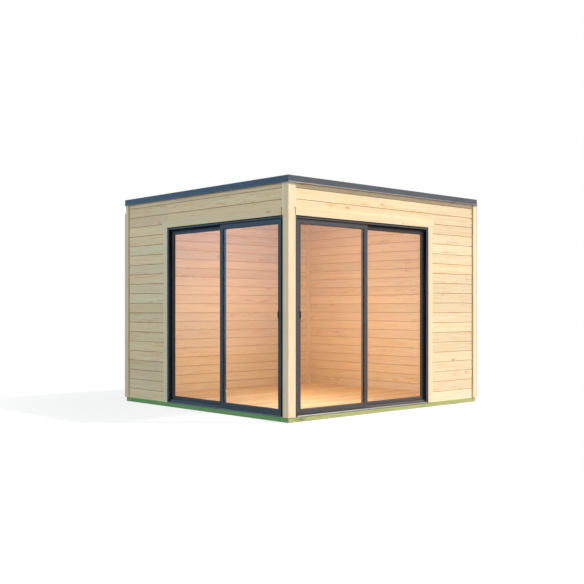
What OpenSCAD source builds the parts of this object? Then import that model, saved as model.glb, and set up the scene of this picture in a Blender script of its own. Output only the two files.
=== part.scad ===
// Flat-roofed timber log cabin with two glazed sliding doors that meet at one corner.
// The origin is the middle of the footprint on the ground, +Z is up, and the
// near corner, where the two glazed sides meet, is at -X -Y.
// A glazed side is drawn once, in facade coordinates: x runs along the side from
// the near corner, y runs inwards from the face of the corner posts, and z runs up
// from the top of the ground bearers. The front uses them as they are, and the left
// side mirrors them.

/* [Footprint] */
// Width over the corner posts, left to right
plan_w = 3010; // [2500:10:3700]
// Depth over the corner posts, front to back
plan_d = 3010; // [2500:10:3700]

/* [Ground bearers and floor] */
// Height of the treated bearers and joists
bearer_h = 48; // [38:1:75]
// Width of the bearers under the walls
bearer_w = 95; // [90:1:120]
// How far the bearers stand back from the post face
bearer_set = 7; // [2:1:16]
// Width of the joists between them
joist_w = 58; // [38:1:75]
// Number of joists between the side bearers
joist_count = 5; // [3:2:9]
// Thickness of the floor boards
floor_t = 19; // [15:1:28]
// Free edge round the floor
floor_gap = 2; // [1:1:8]

/* [Log walls] */
// Height of one log course
log_pitch = 114; // [90:1:140]
// Thickness of the logs
log_t = 28; // [19:1:44]
// Height of the cut log that closes the wall under the roof
top_log = 57; // [45:1:85]
// Depth of the V joint between two logs
joint_depth = 4; // [1:0.5:8]
// How far posts and casings stand proud of the logs
proud = 16; // [10:1:24]

/* [Corners] */
// Side of the square post between the two doors
near_post = 70; // [58:1:84]
// Side of the square posts at the other corners
far_post = 54; // [48:1:70]
// How far the strips beside the near post lie behind its face
strip_set = 1; // [0:1:6]
// Least width of those strips
strip_w = 27; // [5:1:30]
// Width of the shadow gap between the left side's strip and its door frame
shadow_gap = 9; // [0:1:12]
// Depth of the shadow gap
shadow_d = 20; // [10:1:40]
// Thickness of the cover boards on the far corners
cover_t = 25; // [16:1:25]
// Width of the cover boards
cover_w = 95; // [70:1:120]
// How far the back cover board stops short of the roof edge
back_cover_drop = 97; // [0:1:200]
// Side of the batten in each inside corner
inner_trim = 42; // [30:1:60]

/* [Doorway] */
// Width over the door frame
door_w = 2024; // [1600:2:2450]
// Height of the door frame
door_h = 2005; // [1650:1:2100]
// Least height of log wall over the doorway
header_h = 332; // [230:1:600]
// Width of the casing board beside the frame
casing_w = 75; // [60:1:95]
// Height of the casing board over the frame
head_casing_h = 78; // [75:1:110]
// How far the head casing runs past the side casing
head_casing_run = 25; // [0:1:60]
// Free length between the left head casing and its corner strip
left_head_gap = 16; // [8:1:30]

/* [Door frame] */
// How far the frame face lies behind the post face
frame_set = 6; // [5:1:16]
// Least distance between the two door frames at the near corner
frame_gap = 1; // [0.5:0.5:10]
// Width of the jambs
jamb_w = 26; // [20:1:40]
// Height of the head
head_h = 24; // [18:1:36]
// Thickness of the sill plate
sill_t = 8; // [5:1:12]
// Thickness of the track and guide ribs
rib_t = 6; // [4:1:8]
// Height of the running rib above the sill plate
track_h = 28; // [26:1:34]
// Height of the sloping drip edge along the sill
nose_h = 12; // [10:1:16]
// How far the drip edge reaches out from the frame face
nose_out = 4; // [3:1:5]
// Depth over which it slopes up
nose_run = 7; // [5:1:10]
// Thickness of the drip edge at its toe
nose_toe = 2; // [1:0.5:4]
// Depth of the flat on top of the slope
nose_flat = 2; // [1:0.5:4]
// Thickness of the sill's rear upstand
upstand_t = 4; // [2:1:6]
// Thickness of the closing rib on the near jamb
closer_t = 16; // [8:1:24]
// Free run between the closing rib and the shut leaf
closer_gap = 5; // [5:0.5:7]

/* [Door leaves] */
// Thickness of a leaf
leaf_t = 22; // [20:1:40]
// Width of the outer stiles
stile_w = 49; // [36:1:60]
// Width of the meeting stiles, which overlap when closed
meeting_w = 52; // [40:1:60]
// Height of the bottom and top rails
rail_h = 44; // [39:1:60]
// Thickness of the glass
glass_t = 6; // [4:1:10]
// Depth of the glass in its groove
glass_bite = 8; // [5:1:12]
// Free run between a leaf's edge and the frame round it
edge_gap = 8; // [6:1:14]
// Free run between a leaf's face and what it passes
face_gap = 6; // [5:1:12]
// Depth of the sliding leaf behind the frame face
slider_set = 12; // [2:1:16]
// How far the frame runs on behind the fixed leaf
frame_behind = 6; // [2:1:12]
// Free height between the leaves and the frame head
top_gap = 12; // [9:1:18]
// Free edge of the glass in its groove
glass_gap = 1; // [0.5:0.5:3]
// Height of the leaf's underside over the sill plate
leaf_lift = 22; // [18:1:26]
// Free run at each side of a rib in its channel
rib_gap = 5; // [5:0.5:6.5]
// Depth of the guide channel in the top rail
guide_h = 20; // [17:1:26]
// Diameter of the leaf's wheels
wheel_d = 20; // [16:1:22]
// Distance of each wheel from its end of the leaf
wheel_inset = 150; // [80:1:300]
// Free height over the wheels
wheel_gap = 2; // [1:0.5:5]
// Height of the handle's middle
handle_z = 1016; // [900:1:1200]
// Length of the handle
handle_l = 72; // [60:1:160]
// Width of the handle
handle_w = 12; // [10:1:26]
// Handle's distance from the stile's inner edge
handle_edge = 2; // [0:1:6]
// Depth of the handle
handle_t = 8; // [6:1:12]

/* [Roof] */
// Thickness of the roof boards
deck_t = 19; // [15:1:28]
// Height of the rafters
rafter_h = 70; // [60:1:95]
// Width of the rafters
rafter_w = 45; // [38:1:60]
// Number of rafters
rafter_count = 5; // [3:1:8]
// Thickness of the roofing sheet
sheet_t = 3; // [1.5:0.5:5]
// Width of the kerb board outside the posts
kerb_out = 6; // [4:1:40]
// Width of the kerb on the roof boards
kerb_in = 45; // [30:1:70]
// Height of the metal edge trim
trim_h = 69; // [64:1:110]
// Height of the trim above the roof boards
trim_rise = 40; // [25:1:45]
// Thickness of the metal edge trim
trim_t = 2; // [1.5:0.5:3]
// Reach of the trim's drip edge
trim_kick = 6; // [3:1:12]
// Height of the trim's drip edge
trim_drip = 9; // [6:1:15]
// Width of the trim's top flange
trim_flange = 50; // [40:1:70]
// Gap at the kerb's mitres and round the roofing sheet
kerb_gap = 1; // [0.5:0.5:4]

/* [Hidden] */
$fn = 48;

// Finishes
LARCH = "burlywood";
PALE = "wheat";
TREATED = "olivedrab";
ANTHRACITE = "dimgray";
GLASS = [0.75, 0.85, 0.85, 0.35];
SHEET = "darkslategray";

// Clearance of a seat that may slide or roll
seat = 0.3;
// Overlap of a cutter past the face it cuts
past = 1;

// Levels above the bearers: whole courses carry the walls past the doorway
courses = ceil((door_h + header_h - top_log) / log_pitch);
wall_h = courses * log_pitch + top_log;
deck_top = bearer_h + wall_h + deck_t;
trim_top = deck_top + trim_rise;
trim_bottom = trim_top - trim_h;

// Depths behind the post face
log_in = proud + log_t;
// The far posts reach at least to the inner face of the logs that end against them
corner_post = max(far_post, log_in);
slider_y = frame_set + slider_set;
fixed_y = slider_y + leaf_t + face_gap;
frame_back = fixed_y + leaf_t + frame_behind;
frame_d = frame_back - frame_set;

// The two door frames stand clear of each other at the near corner
door_x = max(near_post + strip_w, frame_back + frame_gap);
door_end = door_x + door_w;
daylight_w = door_w - 2 * jamb_w;
leaf_w = (daylight_w - edge_gap + meeting_w) / 2;
slider_x = door_x + jamb_w + edge_gap;
fixed_x = door_end - jamb_w - leaf_w;
leaf_bottom = sill_t + leaf_lift;
leaf_top = door_h - head_h - top_gap;
leaf_h = leaf_top - leaf_bottom;
channel_w = rib_t + 2 * rib_gap;
channel_low = track_h - leaf_lift + wheel_d + wheel_gap;
glass_edge = glass_bite - glass_gap;

// Puts facade coordinates on the front, which faces -Y
module on_front() {
    translate([-plan_w / 2, -plan_d / 2, bearer_h]) children();
}

// Puts facade coordinates on the left side, which faces -X
module on_left() {
    translate([-plan_w / 2, -plan_d / 2, bearer_h]) mirror([1, -1, 0]) children();
}

// A box from its low corner to its high corner
module span(low, high) {
    translate(low) cube(high - low);
}

// A profile drawn in y and z, run along x
module run_x(x0, x1) {
    translate([x0, 0, 0]) rotate([90, 0, 90]) linear_extrude(x1 - x0) children();
}

// ---- Log walls ----

// Section of a log wall between two heights: thickness along x, height along y,
// with a V joint on both faces at each whole course
function log_side(x, inwards, z0, z1) = [
    for (n = [1 : courses]) let (z = n * log_pitch)
        if (z > z0 + joint_depth && z < z1 - joint_depth)
            each [[x, z - joint_depth], [x + inwards * joint_depth, z], [x, z + joint_depth]]
];
function flip(points) = [for (n = [len(points) - 1 : -1 : 0]) points[n]];
function log_section(z0, z1) = concat(
    [[proud, z0]], log_side(proud, 1, z0, z1), [[proud, z1]],
    [[log_in, z1]], flip(log_side(log_in, -1, z0, z1)), [[log_in, z0]]
);

// A stretch of log wall in facade coordinates
module log_wall(x0, x1, z0 = 0) {
    run_x(x0, x1) polygon(log_section(z0, wall_h));
}

module header() {
    color(PALE) log_wall(near_post, door_end, door_h);
}

module panel(side_length) {
    color(PALE) log_wall(door_end, side_length - corner_post);
}

module front_header() { on_front() header(); }
module front_panel() { on_front() panel(plan_w); }
module left_header() { on_left() header(); }
module left_panel() { on_left() panel(plan_d); }

module back_wall() {
    color(PALE)
        translate([plan_w / 2, plan_d / 2, bearer_h]) rotate([0, 0, 180])
            log_wall(corner_post, plan_w - corner_post);
}

module right_wall() {
    color(PALE)
        translate([plan_w / 2, -plan_d / 2, bearer_h]) rotate([0, 0, 90])
            log_wall(corner_post, plan_d - corner_post);
}

// ---- Bearers and floor ----

bearer_x = plan_w / 2 - bearer_set;
bearer_y = plan_d / 2 - bearer_set;

module cross_bearers() {
    color(TREATED)
        for (side = [-1, 1])
            translate([0, side * (bearer_y - bearer_w / 2), bearer_h / 2])
                cube([2 * bearer_x, bearer_w, bearer_h], center = true);
}

module floor_joists() {
    length = 2 * (bearer_y - bearer_w);
    pitch = 2 * (bearer_x - bearer_w) / (joist_count + 1);
    color(TREATED) {
        for (side = [-1, 1])
            translate([side * (bearer_x - bearer_w / 2), 0, bearer_h / 2])
                cube([bearer_w, length, bearer_h], center = true);
        for (n = [1 : joist_count])
            translate([n * pitch - bearer_x + bearer_w, 0, bearer_h / 2])
                cube([joist_w, length, bearer_h], center = true);
    }
}

// The floor reaches to the walls, and steps back behind the two door frames
module floor_boards() {
    wall_edge = log_in + floor_gap;
    door_edge = frame_back + floor_gap;
    post_edge = corner_post + floor_gap;
    step = door_end + floor_gap;
    color(LARCH)
        translate([-plan_w / 2, -plan_d / 2, bearer_h])
            linear_extrude(floor_t)
                difference() {
                    translate([wall_edge, wall_edge])
                        square([plan_w - 2 * wall_edge, plan_d - 2 * wall_edge]);
                    square([step, door_edge]);
                    square([door_edge, step]);
                    square(door_x + floor_gap);
                    for (corner = [[plan_w, 0], [0, plan_d], [plan_w, plan_d]])
                        translate(corner) square(2 * post_edge, center = true);
                }
}

// ---- Corners ----

module near_post() {
    color(PALE) on_front() cube([near_post, near_post, wall_h]);
}

module far_posts() {
    color(PALE)
        for (corner = [[1, -1], [-1, 1], [1, 1]])
            translate([corner[0] * (plan_w - corner_post) / 2, corner[1] * (plan_d - corner_post) / 2,
                       bearer_h + wall_h / 2])
                cube([corner_post, corner_post, wall_h], center = true);
}

// Filler between the near post and the door frame, and the thin strip above it
strip_top = trim_bottom - bearer_h;
head_casing_top = door_h + head_casing_h;

module front_jamb_strip() {
    color(LARCH) on_front() {
        span([near_post, strip_set, 0], [door_x, door_x, door_h]);
        span([near_post, strip_set, head_casing_top], [door_x, proud, strip_top]);
    }
}

module left_jamb_strip() {
    color(LARCH) on_left() {
        difference() {
            span([near_post, strip_set, 0], [door_x, near_post, door_h]);
            span([door_x - shadow_gap, -past, -past], [door_x + past, shadow_d, door_h + past]);
        }
        span([near_post, strip_set, door_h], [door_x, proud, strip_top]);
    }
}

module corner_cover_boards() {
    color(PALE) {
        for (side = [-1, 1])
            translate([plan_w / 2, side > 0 ? plan_d / 2 - cover_w : -plan_d / 2, bearer_h])
                cube([cover_t, cover_w, trim_bottom - bearer_h]);
        translate([-plan_w / 2, plan_d / 2, bearer_h])
            cube([cover_w, cover_t, trim_bottom - bearer_h - back_cover_drop]);
    }
}

// Battens in the three inside corners, rebated over the posts
module inner_corner_battens() {
    wall_x = plan_w / 2 - log_in;
    wall_y = plan_d / 2 - log_in;
    show = corner_post - log_in;
    color(LARCH)
        for (corner = [[1, -1], [-1, 1], [1, 1]])
            translate([corner[0] * wall_x, corner[1] * wall_y, bearer_h + floor_t])
                mirror([corner[0] > 0 ? 1 : 0, 0, 0]) mirror([0, corner[1] > 0 ? 1 : 0, 0])
                    linear_extrude(wall_h - floor_t)
                        difference() {
                            square(inner_trim);
                            translate([-past, -past]) square(show + past);
                        }
}

// ---- Door casings ----

module casings(head_x) {
    outer = door_end + casing_w;
    color(PALE) {
        span([door_end, 0, 0], [outer, proud, door_h - seat]);
        span([head_x, 0, door_h], [outer + head_casing_run, proud, head_casing_top]);
    }
}

module front_casings() { on_front() casings(door_x); }
module left_casings() { on_left() casings(door_x + left_head_gap); }

// ---- Door frame ----

slider_mid = slider_y + leaf_t / 2;
fixed_mid = fixed_y + leaf_t / 2;

module jambs() {
    color(ANTHRACITE) {
        span([door_x, frame_set, 0], [door_x + jamb_w, frame_back, door_h - head_h]);
        span([door_x + jamb_w - past, slider_mid - closer_t / 2, sill_t + track_h],
             [slider_x - closer_gap, slider_mid + closer_t / 2, door_h - head_h]);
        span([door_end - jamb_w, frame_set, 0], [door_end, frame_back, door_h - head_h]);
    }
}

module rib(mid, z0, z1) {
    translate([mid - rib_t / 2, z0]) square([rib_t, z1 - z0]);
}

module head() {
    guide_low = leaf_top - guide_h / 2;
    color(ANTHRACITE) {
        span([door_x, frame_set, door_h - head_h], [door_end, frame_back, door_h]);
        run_x(slider_x, door_end - jamb_w) {
            rib(slider_mid, guide_low, door_h - head_h + past);
            rib(fixed_mid, guide_low, door_h - head_h + past);
        }
    }
}

// Sill plate with a sloping drip edge, the running rib, the rib that carries the fixed
// leaf, a low rib between them and a rear upstand
module sill() {
    middle = (slider_mid + fixed_mid) / 2;
    color(ANTHRACITE)
        run_x(door_x + jamb_w, door_end - jamb_w) {
            translate([frame_set, 0]) square([frame_d, sill_t]);
            translate([frame_set - nose_out, 0])
                polygon([[0, 0], [nose_run + nose_flat, 0], [nose_run + nose_flat, nose_h],
                         [nose_run, nose_h], [0, nose_toe]]);
            rib(slider_mid, sill_t - past, sill_t + track_h);
            rib(middle, sill_t - past, sill_t + track_h / 2);
            rib(fixed_mid, sill_t - past, leaf_bottom + channel_low);
            translate([frame_back - upstand_t, 0]) square([upstand_t, leaf_bottom]);
        }
}

// ---- Door leaves, drawn with their near bottom corner at the origin ----

module place_slider() { translate([slider_x, slider_y, leaf_bottom]) children(); }
module place_fixed() { translate([fixed_x, fixed_y, leaf_bottom]) children(); }

// What the sill and head ribs run in, along the whole leaf
module rib_channels() {
    mid = leaf_t / 2;
    span([-past, mid - channel_w / 2, -past], [leaf_w + past, mid + channel_w / 2, channel_low]);
    span([-past, mid - channel_w / 2, leaf_h - guide_h],
         [leaf_w + past, mid + channel_w / 2, leaf_h + past]);
}

// Pane from one groove to the other, with a stile each side
module pane(near_stile, far_stile, bite) {
    mid = leaf_t / 2;
    span([near_stile - bite, mid - glass_t / 2, rail_h - bite],
         [leaf_w - far_stile + bite, mid + glass_t / 2, leaf_h - rail_h + bite]);
}

module stiles(near_stile, far_stile) {
    color(ANTHRACITE)
        difference() {
            union() {
                cube([near_stile, leaf_t, leaf_h]);
                translate([leaf_w - far_stile, 0, 0]) cube([far_stile, leaf_t, leaf_h]);
            }
            rib_channels();
            pane(near_stile, far_stile, glass_bite);
        }
}

module rails(near_stile, far_stile) {
    length = leaf_w - near_stile - far_stile;
    color(ANTHRACITE)
        difference() {
            for (z = [0, leaf_h - rail_h])
                translate([near_stile, 0, z]) cube([length, leaf_t, rail_h]);
            rib_channels();
            pane(near_stile, far_stile, glass_bite);
        }
}

module glass(near_stile, far_stile) {
    color(GLASS) pane(near_stile, far_stile, glass_edge);
}

// Pull beside the inner edge of the outer stile
module handle() {
    half = (handle_l - handle_w) / 2;
    color(ANTHRACITE)
        translate([stile_w - handle_edge - handle_w / 2, 0, handle_z - leaf_bottom])
            rotate([90, 0, 0])
                linear_extrude(handle_t) {
                    square([handle_w, 2 * half], center = true);
                    for (side = [-1, 1])
                        translate([0, side * half]) circle(d = handle_w);
                }
}

// Two wheels in the bottom channel, each on an axle between its walls
wheel_t = rib_t + 2;
axle_d = wheel_d / 3;
module wheels() {
    mid = leaf_t / 2;
    color("silver")
        for (x = [wheel_inset, leaf_w - wheel_inset])
            translate([x, mid, track_h - leaf_lift + seat + wheel_d / 2])
                rotate([90, 0, 0]) {
                    cylinder(d = wheel_d, h = wheel_t, center = true);
                    cylinder(d = axle_d, h = channel_w, center = true);
                }
}

// The sliding leaf has its meeting stile on the far side, the fixed leaf on the near side
module slider_stiles() { place_slider() stiles(stile_w, meeting_w); }
module slider_rails() { place_slider() rails(stile_w, meeting_w); }
module slider_glass() { place_slider() glass(stile_w, meeting_w); }
module slider_handle() { place_slider() handle(); }
module slider_wheels() { place_slider() wheels(); }
module fixed_stiles() { place_fixed() stiles(meeting_w, stile_w); }
module fixed_rails() { place_fixed() rails(meeting_w, stile_w); }
module fixed_glass() { place_fixed() glass(meeting_w, stile_w); }

module front_jambs() { on_front() jambs(); }
module front_head() { on_front() head(); }
module front_sill() { on_front() sill(); }
module front_fixed_stiles() { on_front() fixed_stiles(); }
module front_fixed_rails() { on_front() fixed_rails(); }
module front_fixed_glass() { on_front() fixed_glass(); }
module front_slider_stiles() { on_front() slider_stiles(); }
module front_slider_rails() { on_front() slider_rails(); }
module front_slider_glass() { on_front() slider_glass(); }
module front_slider_handle() { on_front() slider_handle(); }
module front_slider_wheels() { on_front() slider_wheels(); }

module left_jambs() { on_left() jambs(); }
module left_head() { on_left() head(); }
module left_sill() { on_left() sill(); }
module left_fixed_stiles() { on_left() fixed_stiles(); }
module left_fixed_rails() { on_left() fixed_rails(); }
module left_fixed_glass() { on_left() fixed_glass(); }
module left_slider_stiles() { on_left() slider_stiles(); }
module left_slider_rails() { on_left() slider_rails(); }
module left_slider_glass() { on_left() slider_glass(); }
module left_slider_handle() { on_left() slider_handle(); }
module left_slider_wheels() { on_left() slider_wheels(); }

// ---- Roof ----

module rafters() {
    length = plan_w - 2 * log_in;
    room_d = plan_d - 2 * log_in;
    pitch = room_d / (rafter_count + 1);
    color(LARCH)
        for (n = [1 : rafter_count])
            translate([0, n * pitch - room_d / 2, bearer_h + wall_h - rafter_h / 2])
                cube([length, rafter_w, rafter_h], center = true);
}

module roof_deck() {
    color(LARCH)
        translate([0, 0, bearer_h + wall_h + deck_t / 2])
            cube([plan_w, plan_d, deck_t], center = true);
}

// Runs an edge profile, drawn outwards from the post face, along one side of the
// roof, and cuts both ends on the mitre
module edge_run(side_length, other_length, reach) {
    long = side_length + 2 * reach;
    intersection() {
        translate([0, -other_length / 2, 0])
            rotate([90, 0, -90])
                linear_extrude(long, center = true) children();
        translate([0, -other_length / 2 - reach, 0])
            linear_extrude(trim_top + past)
                polygon([[-long / 2, 0], [long / 2, 0], [0, long / 2]]);
    }
}

module roof_kerb() {
    reach = kerb_out - kerb_gap / 2;
    top = trim_top - trim_t;
    color(LARCH)
        for (turn = [0 : 3]) {
            long = turn % 2 == 0 ? plan_w : plan_d;
            other = turn % 2 == 0 ? plan_d : plan_w;
            rotate([0, 0, 90 * turn])
                edge_run(long - kerb_gap, other, reach) {
                    translate([0, trim_bottom]) square([kerb_out, top - trim_bottom]);
                    translate([-kerb_in, deck_top]) square([kerb_in + past, top - deck_top]);
                }
        }
}

module roof_sheet() {
    color(SHEET)
        translate([0, 0, deck_top + sheet_t / 2])
            cube([plan_w - 2 * kerb_in - kerb_gap, plan_d - 2 * kerb_in - kerb_gap, sheet_t],
                 center = true);
}

// Metal edge: top flange, upright face and a drip edge kicked outwards
module trim_profile() {
    face = kerb_out + trim_t;
    slant = norm([trim_kick, trim_drip]);
    polygon([
        [face - trim_flange, trim_top - trim_t], [kerb_out, trim_top - trim_t],
        [kerb_out, trim_bottom + trim_drip - trim_t * (slant - trim_drip) / trim_kick],
        [face + trim_kick - trim_t * slant / trim_drip, trim_bottom],
        [face + trim_kick, trim_bottom],
        [face, trim_bottom + trim_drip],
        [face, trim_top], [face - trim_flange, trim_top]
    ]);
}

module trim_pair(long, other) {
    for (turn = [0, 180])
        rotate([0, 0, turn])
            edge_run(long, other, kerb_out + trim_t + trim_kick) trim_profile();
}

module roof_trims_front_back() {
    color(ANTHRACITE) trim_pair(plan_w, plan_d);
}

module roof_trims_sides() {
    color(ANTHRACITE) rotate([0, 0, 90]) trim_pair(plan_d, plan_w);
}

cross_bearers();
floor_joists();
floor_boards();
front_header();
front_panel();
left_header();
left_panel();
back_wall();
right_wall();
near_post();
far_posts();
front_jamb_strip();
left_jamb_strip();
corner_cover_boards();
inner_corner_battens();
front_casings();
left_casings();
front_jambs();
front_head();
front_sill();
front_fixed_stiles();
front_fixed_rails();
front_fixed_glass();
front_slider_stiles();
front_slider_rails();
front_slider_glass();
front_slider_handle();
front_slider_wheels();
left_jambs();
left_head();
left_sill();
left_fixed_stiles();
left_fixed_rails();
left_fixed_glass();
left_slider_stiles();
left_slider_rails();
left_slider_glass();
left_slider_handle();
left_slider_wheels();
rafters();
roof_deck();
roof_kerb();
roof_sheet();
roof_trims_front_back();
roof_trims_sides();
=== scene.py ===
"""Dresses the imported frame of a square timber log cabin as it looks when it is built.

The middle of the footprint is at the origin, and the two glazed sides, the front and the
left, meet at the near corner, at -X -Y.  Every size is in metres.
"""

import logging
import math
from collections.abc import Sequence
from dataclasses import dataclass, field
from enum import Enum, IntEnum

import bpy
import numpy as np
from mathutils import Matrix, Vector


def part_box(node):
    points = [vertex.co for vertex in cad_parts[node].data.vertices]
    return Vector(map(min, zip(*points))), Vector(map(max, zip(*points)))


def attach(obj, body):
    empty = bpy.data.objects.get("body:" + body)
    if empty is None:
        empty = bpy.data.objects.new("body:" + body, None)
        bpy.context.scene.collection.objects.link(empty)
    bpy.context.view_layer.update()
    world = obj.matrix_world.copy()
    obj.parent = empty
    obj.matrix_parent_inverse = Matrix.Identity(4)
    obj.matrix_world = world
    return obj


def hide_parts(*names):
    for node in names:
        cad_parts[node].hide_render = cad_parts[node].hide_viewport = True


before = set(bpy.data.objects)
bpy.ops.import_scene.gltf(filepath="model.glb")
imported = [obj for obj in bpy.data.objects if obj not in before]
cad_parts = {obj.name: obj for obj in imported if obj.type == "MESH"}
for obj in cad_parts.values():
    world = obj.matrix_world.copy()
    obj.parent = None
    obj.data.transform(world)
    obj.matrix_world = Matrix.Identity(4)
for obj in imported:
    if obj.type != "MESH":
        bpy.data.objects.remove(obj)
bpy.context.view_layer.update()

log = logging.getLogger("log_cabin")
Array = np.ndarray
Colour = tuple[float, float, float]
Object, Material = bpy.types.Object, bpy.types.Material
Node, Socket = bpy.types.Node, bpy.types.NodeSocket
Entry = Socket | float | tuple[float, ...]


class Seed(IntEnum):
    """Where each sort of board starts its row of chance numbers."""

    BEARERS = 11
    JOISTS = 12
    FLOOR = 13
    WALLS = 20
    NEAR_POST = 31
    FAR_POSTS = 32
    STRIPS = 33
    COVERS = 35
    BATTENS = 36
    CASINGS = 41
    RAFTERS = 61
    DECK = 62
    KERB = 63


# ---------------- places


@dataclass(frozen=True)
class Plan:
    """The main planes of the cabin, read from the frame.

    half_x and half_y reach to the faces of the corner posts, base is the bearers' top.
    """

    half_x: float
    half_y: float
    base: float

    @classmethod
    def measured(cls) -> "Plan":
        """Returns the planes that the corner posts give."""
        low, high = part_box("far_posts")
        return cls(high.x, high.y, low.z)


PLAN = Plan.measured()


class Facade(Enum):
    """A side of the cabin: the corner it starts from, its way along and its way in.

    A side's own coordinates are s along it, d inwards from the face of the posts and z
    up from the bearers.
    """

    FRONT = ((-1, -1), (1, 0), (0, 1))
    LEFT = ((-1, -1), (0, 1), (1, 0))
    BACK = ((1, 1), (-1, 0), (0, -1))
    RIGHT = ((1, -1), (0, 1), (-1, 0))

    @property
    def turn(self) -> Array:
        """Returns the matrix whose columns are the side's three ways in the world."""
        _, along, inward = self.value
        return np.array([[*along, 0], [*inward, 0], [0, 0, 1]], float).T

    @property
    def start(self) -> Array:
        """Returns the world point where s, d and z are nought."""
        corner = self.value[0]
        return np.array([corner[0] * PLAN.half_x, corner[1] * PLAN.half_y, PLAN.base])

    @property
    def stem(self) -> str:
        """Returns the start of the names of the side's CAD nodes."""
        return self.name.lower()

    @property
    def mirrored(self) -> bool:
        """Returns whether the side's coordinates are left-handed."""
        return bool(np.linalg.det(self.turn) < 0)

    def box(self, node: str) -> tuple[Array, Array]:
        """Gives a CAD node's box in this side's coordinates.

        Args:
            node: The CAD node's name.

        Returns:
            The lowest and the highest corner, as s, d and z.
        """
        corners = (np.array(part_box(node)) - self.start) @ self.turn
        return corners.min(0), corners.max(0)


# ---------------- shapes


@dataclass
class Shape:
    """A closed surface as whole arrays.

    Attributes:
        points: Corner positions, (n, 3).
        faces: Groups of faces, each (m, k) for faces of k corners.
        grain: Place in the wood of each point, (n, 3): along the grain, then from the pith.
        board: For each point, two chance numbers that are the same all over one board,
            and how deep it lies in a joint, from 0 to 1.
    """

    points: Array
    faces: list[Array]
    grain: Array | None = None
    board: Array | None = None

    def __post_init__(self) -> None:
        """Fills in the place in the wood and the chance numbers where none are given."""
        if self.grain is None:
            self.grain = self.points.copy()
        if self.board is None:
            self.board = np.tile((0.5, 0.5, 0.0), (len(self.points), 1))

    def standing(self) -> "Shape":
        """Returns the shape with its x turned to z, y to x and z to y."""
        return Shape(self.points[:, [1, 2, 0]], self.faces, self.grain, self.board)

    def lengthways(self) -> "Shape":
        """Returns the shape with its x turned to y, y to z and z to x."""
        return Shape(self.points[:, [2, 0, 1]], self.faces, self.grain, self.board)

    def facing(self) -> "Shape":
        """Returns the bare shape with its z turned to -y and y to z, as the front faces."""
        return Shape(self.points[:, [0, 2, 1]] * (1, -1, 1), self.faces)

    def on(self, side: Facade) -> "Shape":
        """Takes the shape from a side's coordinates into the world.

        Args:
            side: The side that the shape is drawn on.

        Returns:
            The shape in the world, with its faces still pointing outwards.
        """
        points = self.points @ side.turn.T + side.start
        faces = [f[:, ::-1] for f in self.faces] if side.mirrored else self.faces
        return Shape(points, faces, self.grain, self.board)

    @staticmethod
    def joined(shapes: Sequence["Shape"]) -> "Shape":
        """Joins shapes into one.

        Args:
            shapes: The shapes, in any number.

        Returns:
            One shape that holds them all, each closed as before.
        """
        starts = np.cumsum([0] + [len(s.points) for s in shapes[:-1]])
        return Shape(
            np.vstack([s.points for s in shapes]),
            [f + n for s, n in zip(shapes, starts) for f in s.faces],
            np.vstack([s.grain for s in shapes]),
            np.vstack([s.board for s in shapes]),
        )


def oblong(low: Sequence[float], high: Sequence[float]) -> Array:
    """Returns a rectangle's corners, counter-clockwise from the low one."""
    return np.array([low, (high[0], low[1]), high, (low[0], high[1])], float)


def rounded(corners: Array, radius: float | Sequence[float], steps: int = 2) -> Array:
    """Rounds the corners of a closed outline.

    A corner p becomes the curve (1 - t)^2 a + 2 t (1 - t) p + t^2 b for t from 0 to 1,
    where a and b lie on its two edges at radius times the tangent of half its turn.

    Args:
        corners: The outline, (n, 2).
        radius: One radius, or one for each corner.
        steps: Edges along each rounded corner.

    Returns:
        The rounded outline, (m, 2), without repeated points.
    """
    p = np.asarray(corners, float)
    into, out = p - np.roll(p, 1, 0), np.roll(p, -1, 0) - p
    length_in, length_out = np.linalg.norm(into, axis=1), np.linalg.norm(out, axis=1)
    into, out = into / length_in[:, None], out / length_out[:, None]
    turn = np.arctan2(into[:, 0] * out[:, 1] - into[:, 1] * out[:, 0], (into * out).sum(1))
    reach = np.broadcast_to(radius, len(p)) * np.tan(np.abs(turn) / 2)
    reach = np.minimum(reach, 0.45 * np.minimum(length_in, length_out))[:, None]
    t = np.linspace(0, 1, steps + 1)[None, :, None]
    a, b = (p - into * reach)[:, None], (p + out * reach)[:, None]
    curve = ((1 - t) ** 2 * a + 2 * t * (1 - t) * p[:, None] + t**2 * b).reshape(-1, 2)
    return curve[np.linalg.norm(curve - np.roll(curve, 1, 0), axis=1) > 1e-7]


def mitres(section: Array) -> Array:
    """Works out the inward mitre at each corner of a closed outline.

    The mitre is (n + m) / (1 + n . m) for the inward normals n and m of its two edges,
    so a corner moved by it keeps both edges one unit further in.

    Args:
        section: The outline, counter-clockwise, (n, 2).

    Returns:
        The mitres, (n, 2).
    """
    edge = np.roll(section, -1, 0) - section
    normal = np.stack([-edge[:, 1], edge[:, 0]], 1) / np.linalg.norm(edge, axis=1)[:, None]
    before = np.roll(normal, 1, 0)
    return (normal + before) / (1 + (normal * before).sum(1))[:, None].clip(0.2)


def mesh_of(stations: Array) -> Shape:
    """Joins outlines that follow each other into a closed shape.

    Point (i, j) is corner j of outline i.  Each quad joins corners j and j + 1 of
    outlines i and i + 1, and the first and the last outline are closed by one face.

    Args:
        stations: The outlines, (rows, corners, 3), counter-clockwise about the way on.

    Returns:
        The closed shape.
    """
    rows, corners, _ = stations.shape
    index = np.arange(rows * corners).reshape(rows, corners)
    after = np.roll(index, -1, 1)
    quads = np.stack([index[:-1], after[:-1], after[1:], index[1:]], -1).reshape(-1, 4)
    return Shape(stations.reshape(-1, 3), [quads, index[:1, ::-1], index[-1:]])


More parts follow.
